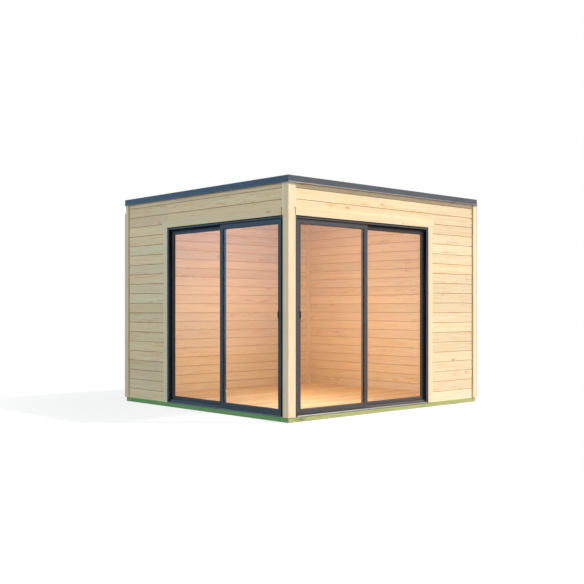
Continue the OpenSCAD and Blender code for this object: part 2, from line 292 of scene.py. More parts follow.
def carried(section: Array, start: float, end: float, ease: float = 0.0) -> Shape:
    """Carries a closed section along x, with both ends eased.

    Point (i, j) is (x_i, p_j + e_i m_j), where p is the section in y and z and m its
    mitres.  At each end x and e follow a quarter circle of radius r = ease, so that
    x = r (1 - cos a) and e = r (1 - sin a).

    Args:
        section: The section in y and z, counter-clockwise from +x, (n, 2).
        start: The lower x.
        end: The higher x.
        ease: The radius of the ends' edges.

    Returns:
        The closed bar.
    """
    a = np.linspace(0, np.pi / 2, 3) if ease else np.array([np.pi / 2])
    x, inset = ease * (1 - np.cos(a)) * bool(ease), ease * (1 - np.sin(a))
    x = np.concatenate([start + x, (end - x)[::-1]])
    inset = np.concatenate([inset, inset[::-1]])
    flat = section[None] + inset[:, None, None] * mitres(section)[None]
    along = np.broadcast_to(x[:, None, None], (len(x), len(section), 1))
    return mesh_of(np.concatenate([along, flat], 2))


def turned_on_axis(profile: Array, sides: int = 16) -> Shape:
    """Turns a profile about z.

    Point (i, j) is (r_i cos a_j, r_i sin a_j, h_i) for a_j once round, and both end
    rings are closed.

    Args:
        profile: Radius and height of each ring, from the bottom up, (n, 2).
        sides: Corners of each ring.

    Returns:
        The closed round shape.
    """
    a = np.arange(sides) * 2 * np.pi / sides
    ring = np.stack([np.cos(a), np.sin(a)], 1)
    radius, height = np.asarray(profile, float).T
    flat = radius[:, None, None] * ring[None]
    up = np.broadcast_to(height[:, None, None], (len(height), sides, 1))
    return mesh_of(np.concatenate([flat, up], 2))


def repeated(shape: Shape, places: Array) -> Shape:
    """Copies a shape to many places at once.

    Args:
        shape: The shape at the origin.
        places: Where its copies go, (n, 3).

    Returns:
        All the copies as one shape.
    """
    count = len(shape.points)
    shift = (np.arange(len(places)) * count)[:, None, None]
    points = (shape.points[None] + np.asarray(places, float)[:, None]).reshape(-1, 3)
    return Shape(points, [(f[None] + shift).reshape(-1, f.shape[1]) for f in shape.faces])


def framed(section: Array, low: Sequence[float], high: Sequence[float]) -> Shape:
    """Carries a section round an upright rectangle with mitred corners.

    Point (i, j) is corner i of the rectangle from low to high moved inwards by q_j, at
    the depth d_j, where q and d are the section's two coordinates.

    Args:
        section: Distance in from the rectangle and depth, (n, 2).
        low: The rectangle's low corner, as s and z.
        high: Its high corner.

    Returns:
        The closed frame, as s, d and z.
    """
    q, d = section.T
    s = np.stack([low[0] + q, high[0] - q, high[0] - q, low[0] + q])
    z = np.stack([low[1] + q, low[1] + q, high[1] - q, high[1] - q])
    points = np.stack([s, np.broadcast_to(d, s.shape), z], -1)
    index = np.arange(points[..., 0].size).reshape(4, -1)
    across, on = np.roll(index, -1, 1), np.roll(index, -1, 0)
    quads = np.stack([index, on, np.roll(on, -1, 1), across], -1).reshape(-1, 4)
    return Shape(points.reshape(-1, 3), [quads])


@dataclass
class Lumber:
    """Cuts boards, each from its own place in a log.

    Attributes:
        seed: Starts the row of chance numbers.
        near: Least distance of a board's middle from the pith.
        far: Greatest such distance.
    """

    seed: int
    near: float = 0.03
    far: float = 0.12
    chance: np.random.Generator = field(init=False)

    def __post_init__(self) -> None:
        """Starts the chance numbers from the seed."""
        self.chance = np.random.default_rng(self.seed)

    def board(self, section: Array, start: float, end: float, ease: float = 0.001) -> Shape:
        """Cuts one board with its grain along x.

        The place in the wood of a point is its own place less the middle of the board,
        moved along the grain and away from the pith by chance.

        Args:
            section: The section in y and z, counter-clockwise from +x.
            start: The lower x.
            end: The higher x.
            ease: The radius of the ends' edges.

        Returns:
            The board, with its grain and chance numbers.
        """
        shape = carried(section, start, end, ease)
        middle = (section.min(0) + section.max(0)) / 2
        away = self.chance.uniform(self.near, self.far)
        angle = self.chance.uniform(-0.9, 0.9) + self.chance.choice([0, np.pi])
        offset = np.array([self.chance.uniform(0, 90), *(-middle)])
        offset[1:] += away * np.array([np.cos(angle), np.sin(angle)])
        shape.grain = shape.points + offset
        shape.board = np.tile((*self.chance.random(2), 0.0), (len(shape.points), 1))
        return shape

    def stick(
        self, low: Sequence[float], high: Sequence[float], radius: float = 0.002
    ) -> Shape:
        """Cuts a square-edged board along the longest side of a box.

        Args:
            low: The box's low corner.
            high: Its high corner.
            radius: The rounding of its long edges.

        Returns:
            The board.
        """
        low, high = np.asarray(low, float), np.asarray(high, float)
        axis = int(np.argmax(high - low))
        a, b = (axis + 1) % 3, (axis + 2) % 3
        section = rounded(oblong((low[a], low[b]), (high[a], high[b])), radius)
        shape = self.board(section, low[axis], high[axis], radius / 2)
        return (shape, shape.lengthways(), shape.standing())[axis]


# ---------------- finishes


class Graph:
    """One material's nodes, added with short calls."""

    def __init__(self, name: str) -> None:
        """Starts an empty material.

        Args:
            name: The material's name.
        """
        self.material = bpy.data.materials.new(name)
        self.material.use_nodes = True
        self.tree = self.material.node_tree
        self.tree.nodes.clear()

    @classmethod
    def of(cls, tree: bpy.types.NodeTree) -> "Graph":
        """Returns a graph that adds to another node tree, emptied first."""
        graph = cls.__new__(cls)
        graph.tree = tree
        tree.nodes.clear()
        return graph

    def node(
        self, kind: str, inputs: dict[str | int, Entry] | None = None, **settings: str | int
    ) -> Node:
        """Adds a node.

        Args:
            kind: The node's type, without ShaderNode.
            inputs: What each input takes, a value or a socket, by name or number.
            settings: The node's own properties.

        Returns:
            The node.
        """
        node = self.tree.nodes.new("ShaderNode" + kind)
        for key, value in settings.items():
            setattr(node, key, value)
        for key, value in (inputs or {}).items():
            if isinstance(value, Socket):
                self.tree.links.new(value, node.inputs[key])
            elif isinstance(value, tuple) and node.inputs[key].type == "RGBA":
                node.inputs[key].default_value = (*value, 1.0)
            else:
                node.inputs[key].default_value = value
        return node

    def maths(self, operation: str, a: Entry, b: Entry = 0.0, c: Entry = 0.0) -> Socket:
        """Returns a sum of up to three values or sockets."""
        node = self.node("Math", {0: a, 1: b, 2: c}, operation=operation)
        return node.outputs[0]

    def line(self, x: Entry, slope: Entry, start: Entry) -> Socket:
        """Returns x times a slope plus a start."""
        return self.maths("MULTIPLY_ADD", x, slope, start)

    def vectors(self, operation: str, a: Entry, b: Entry = (0.0, 0.0, 0.0)) -> Socket:
        """Returns a sum of two vectors, a number where the operation measures them."""
        node = self.node("VectorMath", {0: a, 1: b}, operation=operation)
        return node.outputs["Value" if operation in ("LENGTH", "DOT_PRODUCT") else "Vector"]

    def spread(self, vector: Socket, scale: tuple[float, float, float]) -> Socket:
        """Returns a vector with each of its parts multiplied."""
        return self.vectors("MULTIPLY", vector, scale)

    def noise(
        self, vector: Socket, scale: Entry, detail: float = 2.0, rough: float = 0.5
    ) -> Socket:
        """Returns smooth noise from 0 to 1 at a scale, given as one number or three."""
        if isinstance(scale, tuple):
            vector, scale = self.spread(vector, scale), 1.0
        inputs = {"Vector": vector, "Scale": scale, "Detail": detail, "Roughness": rough}
        return self.node("TexNoise", inputs).outputs["Fac"]

    def ramp(
        self, value: Socket, low: float, high: float, to: tuple[float, float] = (0.0, 1.0)
    ) -> Socket:
        """Returns a value taken smoothly from one range to another."""
        inputs = {"Value": value, 1: low, 2: high, 3: to[0], 4: to[1]}
        node = self.node("MapRange", inputs, interpolation_type="SMOOTHSTEP")
        return node.outputs[0]

    def mix(self, share: Entry, a: Entry, b: Entry, blend: str = "MIX") -> Socket:
        """Returns two colours mixed by a share."""
        node = self.node("Mix", {0: share, 6: a, 7: b}, data_type="RGBA", blend_type=blend)
        return node.outputs[2]

    def parts(self, vector: Socket) -> tuple[Socket, Socket, Socket]:
        """Returns a vector's three parts."""
        node = self.node("SeparateXYZ", {0: vector})
        return node.outputs[0], node.outputs[1], node.outputs[2]

    def attribute(self, name: str) -> Socket:
        """Returns a vector that the mesh holds."""
        return self.node("Attribute", attribute_name=name).outputs["Vector"]

    def place(self) -> Socket:
        """Returns the point's place in the object."""
        return self.node("TexCoord").outputs["Object"]

    def bump(self, height: Socket, depth: float) -> Socket:
        """Returns the normal that a height from 0 to 1, times a depth in metres, gives."""
        return self.node("Bump", {"Height": height, "Distance": depth, "Strength": 1.0}).outputs[0]

    def surface(self, inputs: dict[str | int, Entry]) -> Node:
        """Adds a Principled shader and returns it."""
        return self.node("BsdfPrincipled", inputs)

    def finished(self, shader: Node) -> Material:
        """Links the shader to the output and returns the material."""
        output = self.node("OutputMaterial")
        self.tree.links.new(shader.outputs[0], output.inputs["Surface"])
        return self.material


@dataclass(frozen=True)
class Wood:
    """Planed or sawn softwood with rings, fibres, streaks and knots.

    Attributes:
        name: The material's name.
        pale: Colour of the early wood.
        late: Colour of the late wood, at the end of each ring.
        heart: Colour that broad zones lean to.
        streak: Colour of the thin dark streaks and of the resin.
        sap: Colour that the palest boards lean to.
        knot: Colour of the knots.
        ring: Width of a year's ring.
        knots: Share of the possible knots that are there.
        streaks: Strength of the streaks.
        tones: How much one board differs from the next.
        rough: Mean roughness.
        sawn: Depth of the saw's marks.
        ends: Colour of the ends of boards along x, where it differs: painted shade, as
            the pale treated bearers' ends take the shaded side's green.
    """

    name: str
    pale: Colour
    late: Colour
    heart: Colour
    streak: Colour
    knot: Colour
    sap: Colour = (0.87, 0.76, 0.60)
    ring: float = 0.0035
    knots: float = 0.3
    streaks: float = 0.75
    tones: float = 0.12
    rough: float = 0.6
    sawn: float = 0.0002
    ends: Colour | None = None

    def knot_marks(self, g: Graph, grain: Socket) -> tuple[Socket, Socket, Socket]:
        """Scatters knots, in some cells of a pattern that is long with the grain.

        A knot's reach is the distance from the middle of its cell over its own radius,
        with a wobbly edge.  Its core lies within a reach of 1, its halo within 3.4.

        Args:
            g: The wood's graph.
            grain: The place in the wood.

        Returns:
            The reach, and how far the point lies in a core and in a halo, from 0 to 1.
        """
        cells = g.node("TexVoronoi", {"Vector": g.spread(grain, (2.8, 2.0, 8.5)), "Scale": 1.0})
        lottery, size, _ = g.parts(cells.outputs["Color"])
        there = g.maths("LESS_THAN", lottery, self.knots)
        radius = g.line(size, 0.05, 0.028)
        wobble = g.noise(grain, 160.0, 1.0)
        reach = g.maths("DIVIDE", cells.outputs["Distance"], radius)
        reach = g.maths("ADD", reach, g.line(wobble, 0.5, -0.25))
        core = g.maths("MULTIPLY", g.ramp(reach, 1.15, 0.85), there)
        halo = g.maths("MULTIPLY", g.ramp(reach, 3.4, 1.0), there)
        return reach, core, halo

    def ring_ends(self, g: Graph, grain: Socket, halo: Socket) -> Socket:
        """Draws the year's rings.

        A ring's phase is the distance from the pith, bent by slow noise and round each
        knot, over the ring's width, and its dark end is the phase's fraction cubed.

        Args:
            g: The wood's graph.
            grain: The place in the wood.
            halo: How far the point lies in a knot's halo.

        Returns:
            How dark the point's place in its ring is, from 0 to 1.
        """
        slow = g.node(
            "TexNoise", {"Vector": g.spread(grain, (0.9, 2.0, 2.0)), "Scale": 1.0, "Detail": 2.0}
        )
        centred = g.vectors("SUBTRACT", slow.outputs["Color"], (0.5, 0.5, 0.5))
        _, across, through = g.parts(g.vectors("ADD", grain, g.spread(centred, (0.0, 0.07, 0.07))))
        squares = g.line(across, across, g.maths("MULTIPLY", through, through))
        radial = g.line(halo, 0.007, g.maths("SQRT", squares))
        radial = g.line(g.noise(grain, (6.0, 60.0, 60.0), 2.0), 0.002, radial)
        phase = g.maths("FRACT", g.maths("DIVIDE", radial, self.ring))
        return g.maths("POWER", phase, 3.0)

    def material(self) -> Material:
        """Builds the wood.

        The colour starts from the rings, takes in bands, zones and fibres that run with
        the grain, then streaks, resin and knots, and last the board's own tone.

        Returns:
            The material.
        """
        g = Graph(self.name)
        grain = g.attribute("grain")
        tone, hue, joint = g.parts(g.attribute("board"))
        reach, core, halo = self.knot_marks(g, grain)
        dark_end = self.ring_ends(g, grain, halo)
        fibre = g.noise(grain, (16.0, 850.0, 850.0), 2.0, 0.6)
        band = g.noise(grain, (1.6, 48.0, 48.0), 3.0, 0.6)
        zone = g.noise(grain, (0.6, 7.0, 7.0), 2.0)
        thin = g.noise(grain, (3.1, 125.0, 125.0), 2.0, 0.55)
        resin = g.ramp(g.noise(grain, (4.5, 40.0, 40.0), 2.0, 0.6), 0.57, 0.66)
        resin = g.maths("MULTIPLY", resin, g.ramp(g.noise(grain, (1.0, 9.0, 9.0), 1.0), 0.5, 0.62))
        colour = g.mix(g.maths("MULTIPLY", dark_end, 0.5), self.pale, self.late)
        colour = g.mix(g.ramp(band, 0.38, 0.72, (0.0, 0.55)), colour, self.late)
        colour = g.mix(g.ramp(zone, 0.42, 0.7, (0.0, 0.5)), colour, self.heart)
        colour = g.mix(g.ramp(fibre, 0.45, 0.75, (0.0, 0.14)), colour, self.late)
        colour = g.mix(g.ramp(hue, 0.78, 1.0, (0.0, 0.5)), colour, self.sap)
        colour = g.mix(g.ramp(thin, 0.60, 0.72, (0.0, self.streaks)), colour, self.streak)
        colour = g.mix(g.maths("MULTIPLY", resin, self.streaks), colour, self.streak)
        colour = g.mix(g.maths("MULTIPLY", halo, 0.3), colour, self.streak)
        ring_of_knot = g.maths("MULTIPLY", g.ramp(reach, 0.35, 1.0, (0.35, 1.0)), core)
        colour = g.mix(g.maths("MULTIPLY", ring_of_knot, 0.9), colour, self.knot)
        # Dirt and painted shade: the V joints between logs darken towards the knot colour, most at
        # the root.
        colour = g.mix(g.ramp(joint, 0.05, 0.9, (0.0, 0.8)), colour, self.knot)
        # Painted shade: faces turned along x take the ends' colour.
        if self.ends:
            facing, _, _ = g.parts(g.node("NewGeometry").outputs["Normal"])
            colour = g.mix(g.ramp(g.maths("ABSOLUTE", facing), 0.5, 0.8), colour, self.ends)
        shade = g.line(tone, self.tones, 1.0 - self.tones / 2)
        blue = g.maths("MULTIPLY", shade, g.line(hue, -0.09, 1.045))
        tint = g.node("CombineXYZ", {0: shade, 1: shade, 2: blue}).outputs[0]
        colour = g.mix(1.0, colour, tint, "MULTIPLY")
        height = g.line(fibre, 0.6, g.maths("MULTIPLY", dark_end, -0.4))
        height = g.line(core, 0.5, height)
        rough = g.line(fibre, 0.16, self.rough - 0.06)
        rough = g.line(core, -0.12, rough)
        return g.finished(g.surface({
            "Base Color": colour, "Roughness": rough, "Normal": g.bump(height, self.sawn),
            "Specular IOR Level": 0.35,
        }))


@dataclass(frozen=True)
class PowderCoat:
    """Powder-coated aluminium with a fine orange-peel, faint dust and painted shade in hollows.

    Attributes:
        name: The material's name.
        colour: The coat's colour.
        rough: Its mean roughness.
        gloss: Its specular level.
        painted_recess_shade: Share of the colour left deep in hollows: painted shade.
        peel: Depth of its texture.
    """

    name: str
    colour: Colour
    rough: float = 0.42
    gloss: float = 0.5
    painted_recess_shade: float = 0.15
    peel: float = 0.00004

    def material(self) -> Material:
        """Builds the coat and returns the material."""
        g = Graph(self.name)
        place = g.place()
        fleck = g.noise(place, 900.0, 2.0)
        cloud = g.noise(place, 5.0, 3.0)
        lighter = tuple(min(1.0, c * 1.5 + 0.006) for c in self.colour)
        colour = g.mix(g.ramp(cloud, 0.35, 0.75, (0.0, 0.3)), self.colour, lighter)
        colour = g.mix(g.ramp(fleck, 0.45, 0.7, (0.0, 0.25)), colour, lighter)
        # Painted shade: the colour darkens where ambient occlusion finds the surface closed in; the
        # roughness rises there too.
        clear = g.node("AmbientOcclusion", {"Distance": 0.07}, samples=8).outputs["AO"]
        colour = g.mix(1.0, colour, g.ramp(clear, 0.25, 0.85, (self.painted_recess_shade, 1.0)), "MULTIPLY")
        rough = g.line(cloud, 0.18, self.rough - 0.09)
        rough = g.maths("ADD", rough, g.ramp(clear, 0.85, 0.25, (0.0, 0.3)))
        return g.finished(g.surface({
            "Base Color": colour, "Roughness": rough, "Normal": g.bump(fleck, self.peel),
            "Specular IOR Level": self.gloss,
        }))


@dataclass(frozen=True)
class Rubber:
    """Matt black rubber, as roofing sheet, gasket or sealing strip.

    Attributes:
        name: The material's name.
        colour: The rubber's colour.
        bloom: How much paler its dusty patches are.
        texture: Patterns in a metre of its surface texture.
        depth: Depth of that texture.
        gloss: Its specular level.
    """

    name: str
    colour: Colour
    bloom: float = 0.3
    texture: float = 300.0
    depth: float = 0.0002
    gloss: float = 0.5

    def material(self) -> Material:
        """Builds the rubber and returns the material."""
        g = Graph(self.name)
        place = g.place()
        patch = g.noise(place, 2.2, 4.0, 0.6)
        pore = g.noise(place, self.texture, 2.0)
        dusty = tuple(c * (1 + 2.5 * self.bloom) + 0.03 * self.bloom for c in self.colour)
        colour = g.mix(g.ramp(patch, 0.4, 0.75), self.colour, dusty)
        rough = g.line(patch, 0.2, 0.65)
        return g.finished(g.surface({
            "Base Color": colour, "Roughness": rough, "Normal": g.bump(pore, self.depth),
            "Specular IOR Level": self.gloss,
        }))


@dataclass(frozen=True)
class BrightMetal:
    """Stainless steel with a fine brushed grain.

    Attributes:
        name: The material's name.
        colour: The metal's colour.
        rough: Its mean roughness.
    """

    name: str
    colour: Colour = (0.62, 0.62, 0.6)
    rough: float = 0.32

    def material(self) -> Material:
        """Builds the metal and returns the material."""
        g = Graph(self.name)
        scratch = g.noise(g.place(), (700.0, 90.0, 700.0), 2.0)
        duller = tuple(0.72 * c for c in self.colour)
        return g.finished(g.surface({
            "Base Color": g.mix(scratch, self.colour, duller), "Metallic": 1.0,
            "Roughness": g.line(scratch, 0.2, self.rough - 0.1),
        }))


@dataclass(frozen=True)
class Nylon:
    """Off-white moulded nylon."""

    name: str
    colour: Colour = (0.72, 0.71, 0.66)

    def material(self) -> Material:
        """Builds the nylon and returns the material."""
        g = Graph(self.name)
        cloud = g.noise(g.place(), 80.0, 2.0)
        duller = tuple(0.85 * c for c in self.colour)
        return g.finished(g.surface({
            "Base Color": g.mix(cloud, self.colour, duller), "Subsurface Weight": 0.05,
            "Roughness": g.line(cloud, 0.1, 0.35),
        }))


@dataclass(frozen=True)
class ClearGlass:
    """Clear toughened glass that lets the lamps through."""

    name: str
    tint: Colour = (0.96, 0.985, 0.975)

    def material(self) -> Material:
        """Builds the glass and returns the material."""
        g = Graph(self.name)
        glass = g.surface({
            "Base Color": self.tint, "Transmission Weight": 1.0, "Roughness": 0.0, "IOR": 1.5,
        })
        clear = g.node("BsdfTransparent", {"Color": self.tint})
        path = g.node("LightPath").outputs["Is Shadow Ray"]
        mixed = g.node("MixShader", {0: path, 1: glass.outputs[0], 2: clear.outputs[0]})
        return g.finished(mixed)


class Finishes:
    """Every finish on the cabin, built once."""

    def __init__(self) -> None:
        """Builds the materials."""
        spruce = dict(
            pale=(0.82, 0.665, 0.44), late=(0.70, 0.50, 0.28), heart=(0.77, 0.57, 0.345),
            streak=(0.70, 0.39, 0.15), knot=(0.40, 0.18, 0.065),
        )
        post = spruce | dict(pale=(0.83, 0.675, 0.456), late=(0.72, 0.53, 0.31))
        self.logs = Wood("spruce_logs", **spruce).material()
        self.posts = Wood("spruce_posts", **post, knots=0.2, streaks=0.3, ring=0.003).material()
        self.floor = Wood(
            "floor_spruce", pale=(0.76, 0.55, 0.32), late=(0.62, 0.39, 0.18),
            heart=(0.70, 0.46, 0.24), streak=(0.45, 0.24, 0.09), knot=(0.27, 0.12, 0.05), rough=0.48,
        ).material()
        self.roof_wood = Wood("roof_spruce", **spruce, rough=0.7, sawn=0.0005).material()
        sawn = dict(
            streak=(0.10, 0.17, 0.05), sap=(0.30, 0.45, 0.2), knot=(0.08, 0.09, 0.03),
            tones=0.2, rough=0.75, sawn=0.0006,
        )
        # Painted light: the treated pine comes as two copies, the green one matched to the shaded
        # left side and the paler, yellower one to the sunlit front; the pale copy's end faces take
        # the green one's colour.
        self.treated = Wood(
            "treated_pine", pale=(0.20, 0.41, 0.15), late=(0.12, 0.26, 0.085),
            heart=(0.17, 0.34, 0.12), **sawn,
        ).material()
        self.treated_sunlit_copy = Wood(
            "treated_pine_sunlit_copy", pale=(0.57, 0.515, 0.19), late=(0.42, 0.375, 0.12),
            heart=(0.50, 0.445, 0.15), ends=(0.20, 0.38, 0.14), **sawn,
        ).material()
        # Each powder coat darkens its hollows with painted shade; the last number of the sill and
        # the trim is their share of it.
        self.frame = PowderCoat("anthracite_frame", (0.042, 0.048, 0.055)).material()
        self.head = PowderCoat(
            "anthracite_head", (0.048, 0.056, 0.062), gloss=0.6, painted_recess_shade=0.9
        ).material()
        self.sill = PowderCoat("anthracite_sill", (0.060, 0.062, 0.064), 0.42, 0.85, 0.5).material()
        self.trim = PowderCoat("anthracite_trim", (0.044, 0.060, 0.073), 0.40, 0.60, 0.55).material()
        self.handle = PowderCoat("anthracite_handle", (0.030, 0.038, 0.046), rough=0.38).material()
        self.gasket = Rubber("black_gasket", (0.012, 0.012, 0.012), gloss=0.08).material()
        self.sheet = Rubber("rubber_roofing", (0.035, 0.036, 0.038), 0.6, 500.0, 0.0003).material()
        self.steel = BrightMetal("stainless_steel").material()
        self.nylon = Nylon("white_nylon").material()
        self.glass = ClearGlass("clear_glass").material()


def add_piece(
    name: str, shapes: Sequence[Shape], finish: Material,
    stands_for: Sequence[str] = (), body: str = "cabin", smooth: float = 0.0,
) -> Object:
    """Makes an object from shapes, hangs it from its body and hides the CAD nodes it replaces.

    Args:
        name: The piece's name.
        shapes: Its shapes, in the world.
        finish: Its material.
        stands_for: CAD nodes that it replaces.
        body: The CAD body that it moves with.
        smooth: Edges that turn less than this many degrees are shaded smooth.

    Returns:
        The object, at the origin and unturned.
    """
    shape = Shape.joined(shapes)
    mesh = bpy.data.meshes.new(name)
    faces = [face for group in shape.faces for face in group.tolist()]
    mesh.from_pydata(shape.points.tolist(), [], faces)
    for title, values in (("grain", shape.grain), ("board", shape.board)):
        layer = mesh.attributes.new(title, "FLOAT_VECTOR", "POINT")
        layer.data.foreach_set("vector", values.astype(np.float32).ravel())
    if smooth:
        mesh.polygons.foreach_set("use_smooth", np.ones(len(mesh.polygons), bool))
        mesh.set_sharp_from_angle(angle=math.radians(smooth))
    mesh.materials.append(finish)
    mesh.update()
    piece = bpy.data.objects.new(name, mesh)
    bpy.context.scene.collection.objects.link(piece)
    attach(piece, body)
    if stands_for:
        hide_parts(*stands_for)
    return piece


# ---------------- ground and floor


@dataclass
class Groundwork:
    """Treated bearers and joists, and the floor boards on them.

    Attributes:
        finishes: The cabin's finishes.
        arris: Rounding of the sawn timber's edges.
        bearer: Width of a bearer.
        joist: Width of a joist between the bearers.
        count: Number of those joists.
        cover: Widest cover of a floor board.
        groove: Size of the V between two floor boards.
        gap: Half of the slit at the bottom of that V.
        clear: Free room between the floor and the two door frames.
        short: How much shorter the outer boards are, to clear the corner battens.
        nail_edge: Distance of a nail from its board's edge.
        nail_sunk: How deep the foot of a nail's head lies.
    """

    finishes: Finishes
    arris: float = 0.003
    bearer: float = 0.095
    joist: float = 0.058
    count: int = 5
    cover: float = 0.0885
    groove: float = 0.0015
    gap: float = 0.0005
    clear: float = 0.002
    short: float = 0.01
    nail_edge: float = 0.02
    nail_sunk: float = 0.0012

    def build(self) -> list[Object]:
        """Builds the bearers, joists and floor, and returns the pieces."""
        return [self.bearers(), self.joists(), self.floor(), self.nails()]

    def bearers(self) -> Object:
        """Builds the front and back bearers and returns the piece."""
        low, high = map(np.array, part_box("cross_bearers"))
        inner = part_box("floor_joists")
        lumber = Lumber(Seed.BEARERS)
        sticks = [
            lumber.stick(low, (high[0], inner[0].y, high[2]), self.arris),
            lumber.stick((low[0], inner[1].y, low[2]), high, self.arris),
        ]
        # The front and back bearers take the pale copy of the treated pine, painted sunlight.
        return add_piece(
            "ground_bearers", sticks, self.finishes.treated_sunlit_copy, ["cross_bearers"]
        )

    def joists(self) -> Object:
        """Builds the side bearers and the joists between them, and returns the piece."""
        low, high = map(np.array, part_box("floor_joists"))
        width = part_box("floor_joists")[0].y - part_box("cross_bearers")[0].y
        inner = high[0] - width
        edges = [(low[0], low[0] + width), (high[0] - width, high[0])]
        for n in range(1, self.count + 1):
            x = -inner + n * 2 * inner / (self.count + 1)
            edges.append((x - self.joist / 2, x + self.joist / 2))
        lumber = Lumber(Seed.JOISTS)
        sticks = [
            lumber.stick((a, low[1], low[2]), (b, high[1], high[2]), self.arris)
            for a, b in edges
        ]
        return add_piece(
            "floor_bearers_and_joists", sticks, self.finishes.treated, ["floor_joists"]
        )

    def rows(self) -> tuple[Array, Array, Array]:
        """Works out the floor boards, which step back behind the two door frames.

        Returns:
            The boards' edges in y, and the low and high x of each.
        """
        low, high = map(np.array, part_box("floor_boards"))
        jamb = Facade.FRONT.box("front_jambs")[1]
        x0, y0, _ = Facade.FRONT.start
        behind = jamb[1] + self.clear
        corner = Facade.FRONT.box("front_jambs")[0][0] + self.clear
        turn_y = y0 + Facade.LEFT.box("left_jambs")[1][0] + self.clear
        count = math.ceil((high[1] - y0 - corner) / self.cover)
        whole = np.minimum(y0 + corner + np.arange(count + 1) * self.cover, high[1])
        edges = np.concatenate([[low[1], y0 + behind], whole])
        middles = (edges[1:] + edges[:-1]) / 2
        left = np.where(middles < turn_y, x0 + behind, low[0])
        left[:2] = x0 + jamb[0] + self.clear, x0 + corner
        right = np.full(len(middles), high[0])
        left[-1], right[[0, -1]] = low[0] + self.short, high[0] - self.short
        return edges, left, right

    def floor(self) -> Object:
        """Builds the tongued floor boards and returns the piece.

        Each board's section is an oblong with its two upper edges bevelled by the size
        of the groove.

        Returns:
            The piece.
        """
        low, high = map(np.array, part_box("floor_boards"))
        edges, left, right = self.rows()
        lumber = Lumber(Seed.FLOOR)
        boards = []
        foot, top, g = low[2], high[2], self.groove
        root = top - 2 * g
        for a, b, x0, x1 in zip(edges[:-1], edges[1:], left, right):
            section = np.array([
                (a, foot), (b, foot), (b, root), (b - self.gap, root),
                (b - g, top), (a + g, top), (a + self.gap, root), (a, root),
            ])
            boards.append(lumber.board(section, x0, x1, 0.0))
        return add_piece(
            "floor_boards_laid", boards, self.finishes.floor, ["floor_boards"]
        )

    def nails(self) -> Object:
        """Builds the floor's sunk nail heads, two where a wide board crosses a joist."""
        edges, left, right = self.rows()
        edge, margin = self.nail_edge, self.nail_edge / 2
        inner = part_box("floor_joists")[1].x - self.bearer
        joist = np.linspace(-inner, inner, self.count + 2)[1:-1]
        x, a = np.meshgrid(joist, edges[:-1])
        _, b = np.meshgrid(joist, edges[1:])
        wide = (b - a) > 2 * edge
        inside = (x > left[:, None] + margin) & (x < right[:, None] - margin) & wide
        y = np.stack([a + edge, b - edge], -1)[inside]
        x = np.repeat(x[inside], 2)
        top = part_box("floor_boards")[1].z
        places = np.stack([x, y.ravel(), np.full(len(x), top - self.nail_sunk)], 1)
        head = turned_on_axis(np.array([(0.0018, 0.0), (0.0018, 0.0014), (0.0012, 0.0016)]), 8)
        return add_piece("floor_nails", [repeated(head, places)], self.finishes.steel)


# ---------------- walls


def wall_pieces(node: str, parts: int = 3) -> tuple[str, ...]:
    """Returns the names of a log wall's pieces, numbered where there are more than one."""
    return tuple(f"{node}_logs" + (f"_{n + 1}" if parts > 1 else "") for n in range(parts))


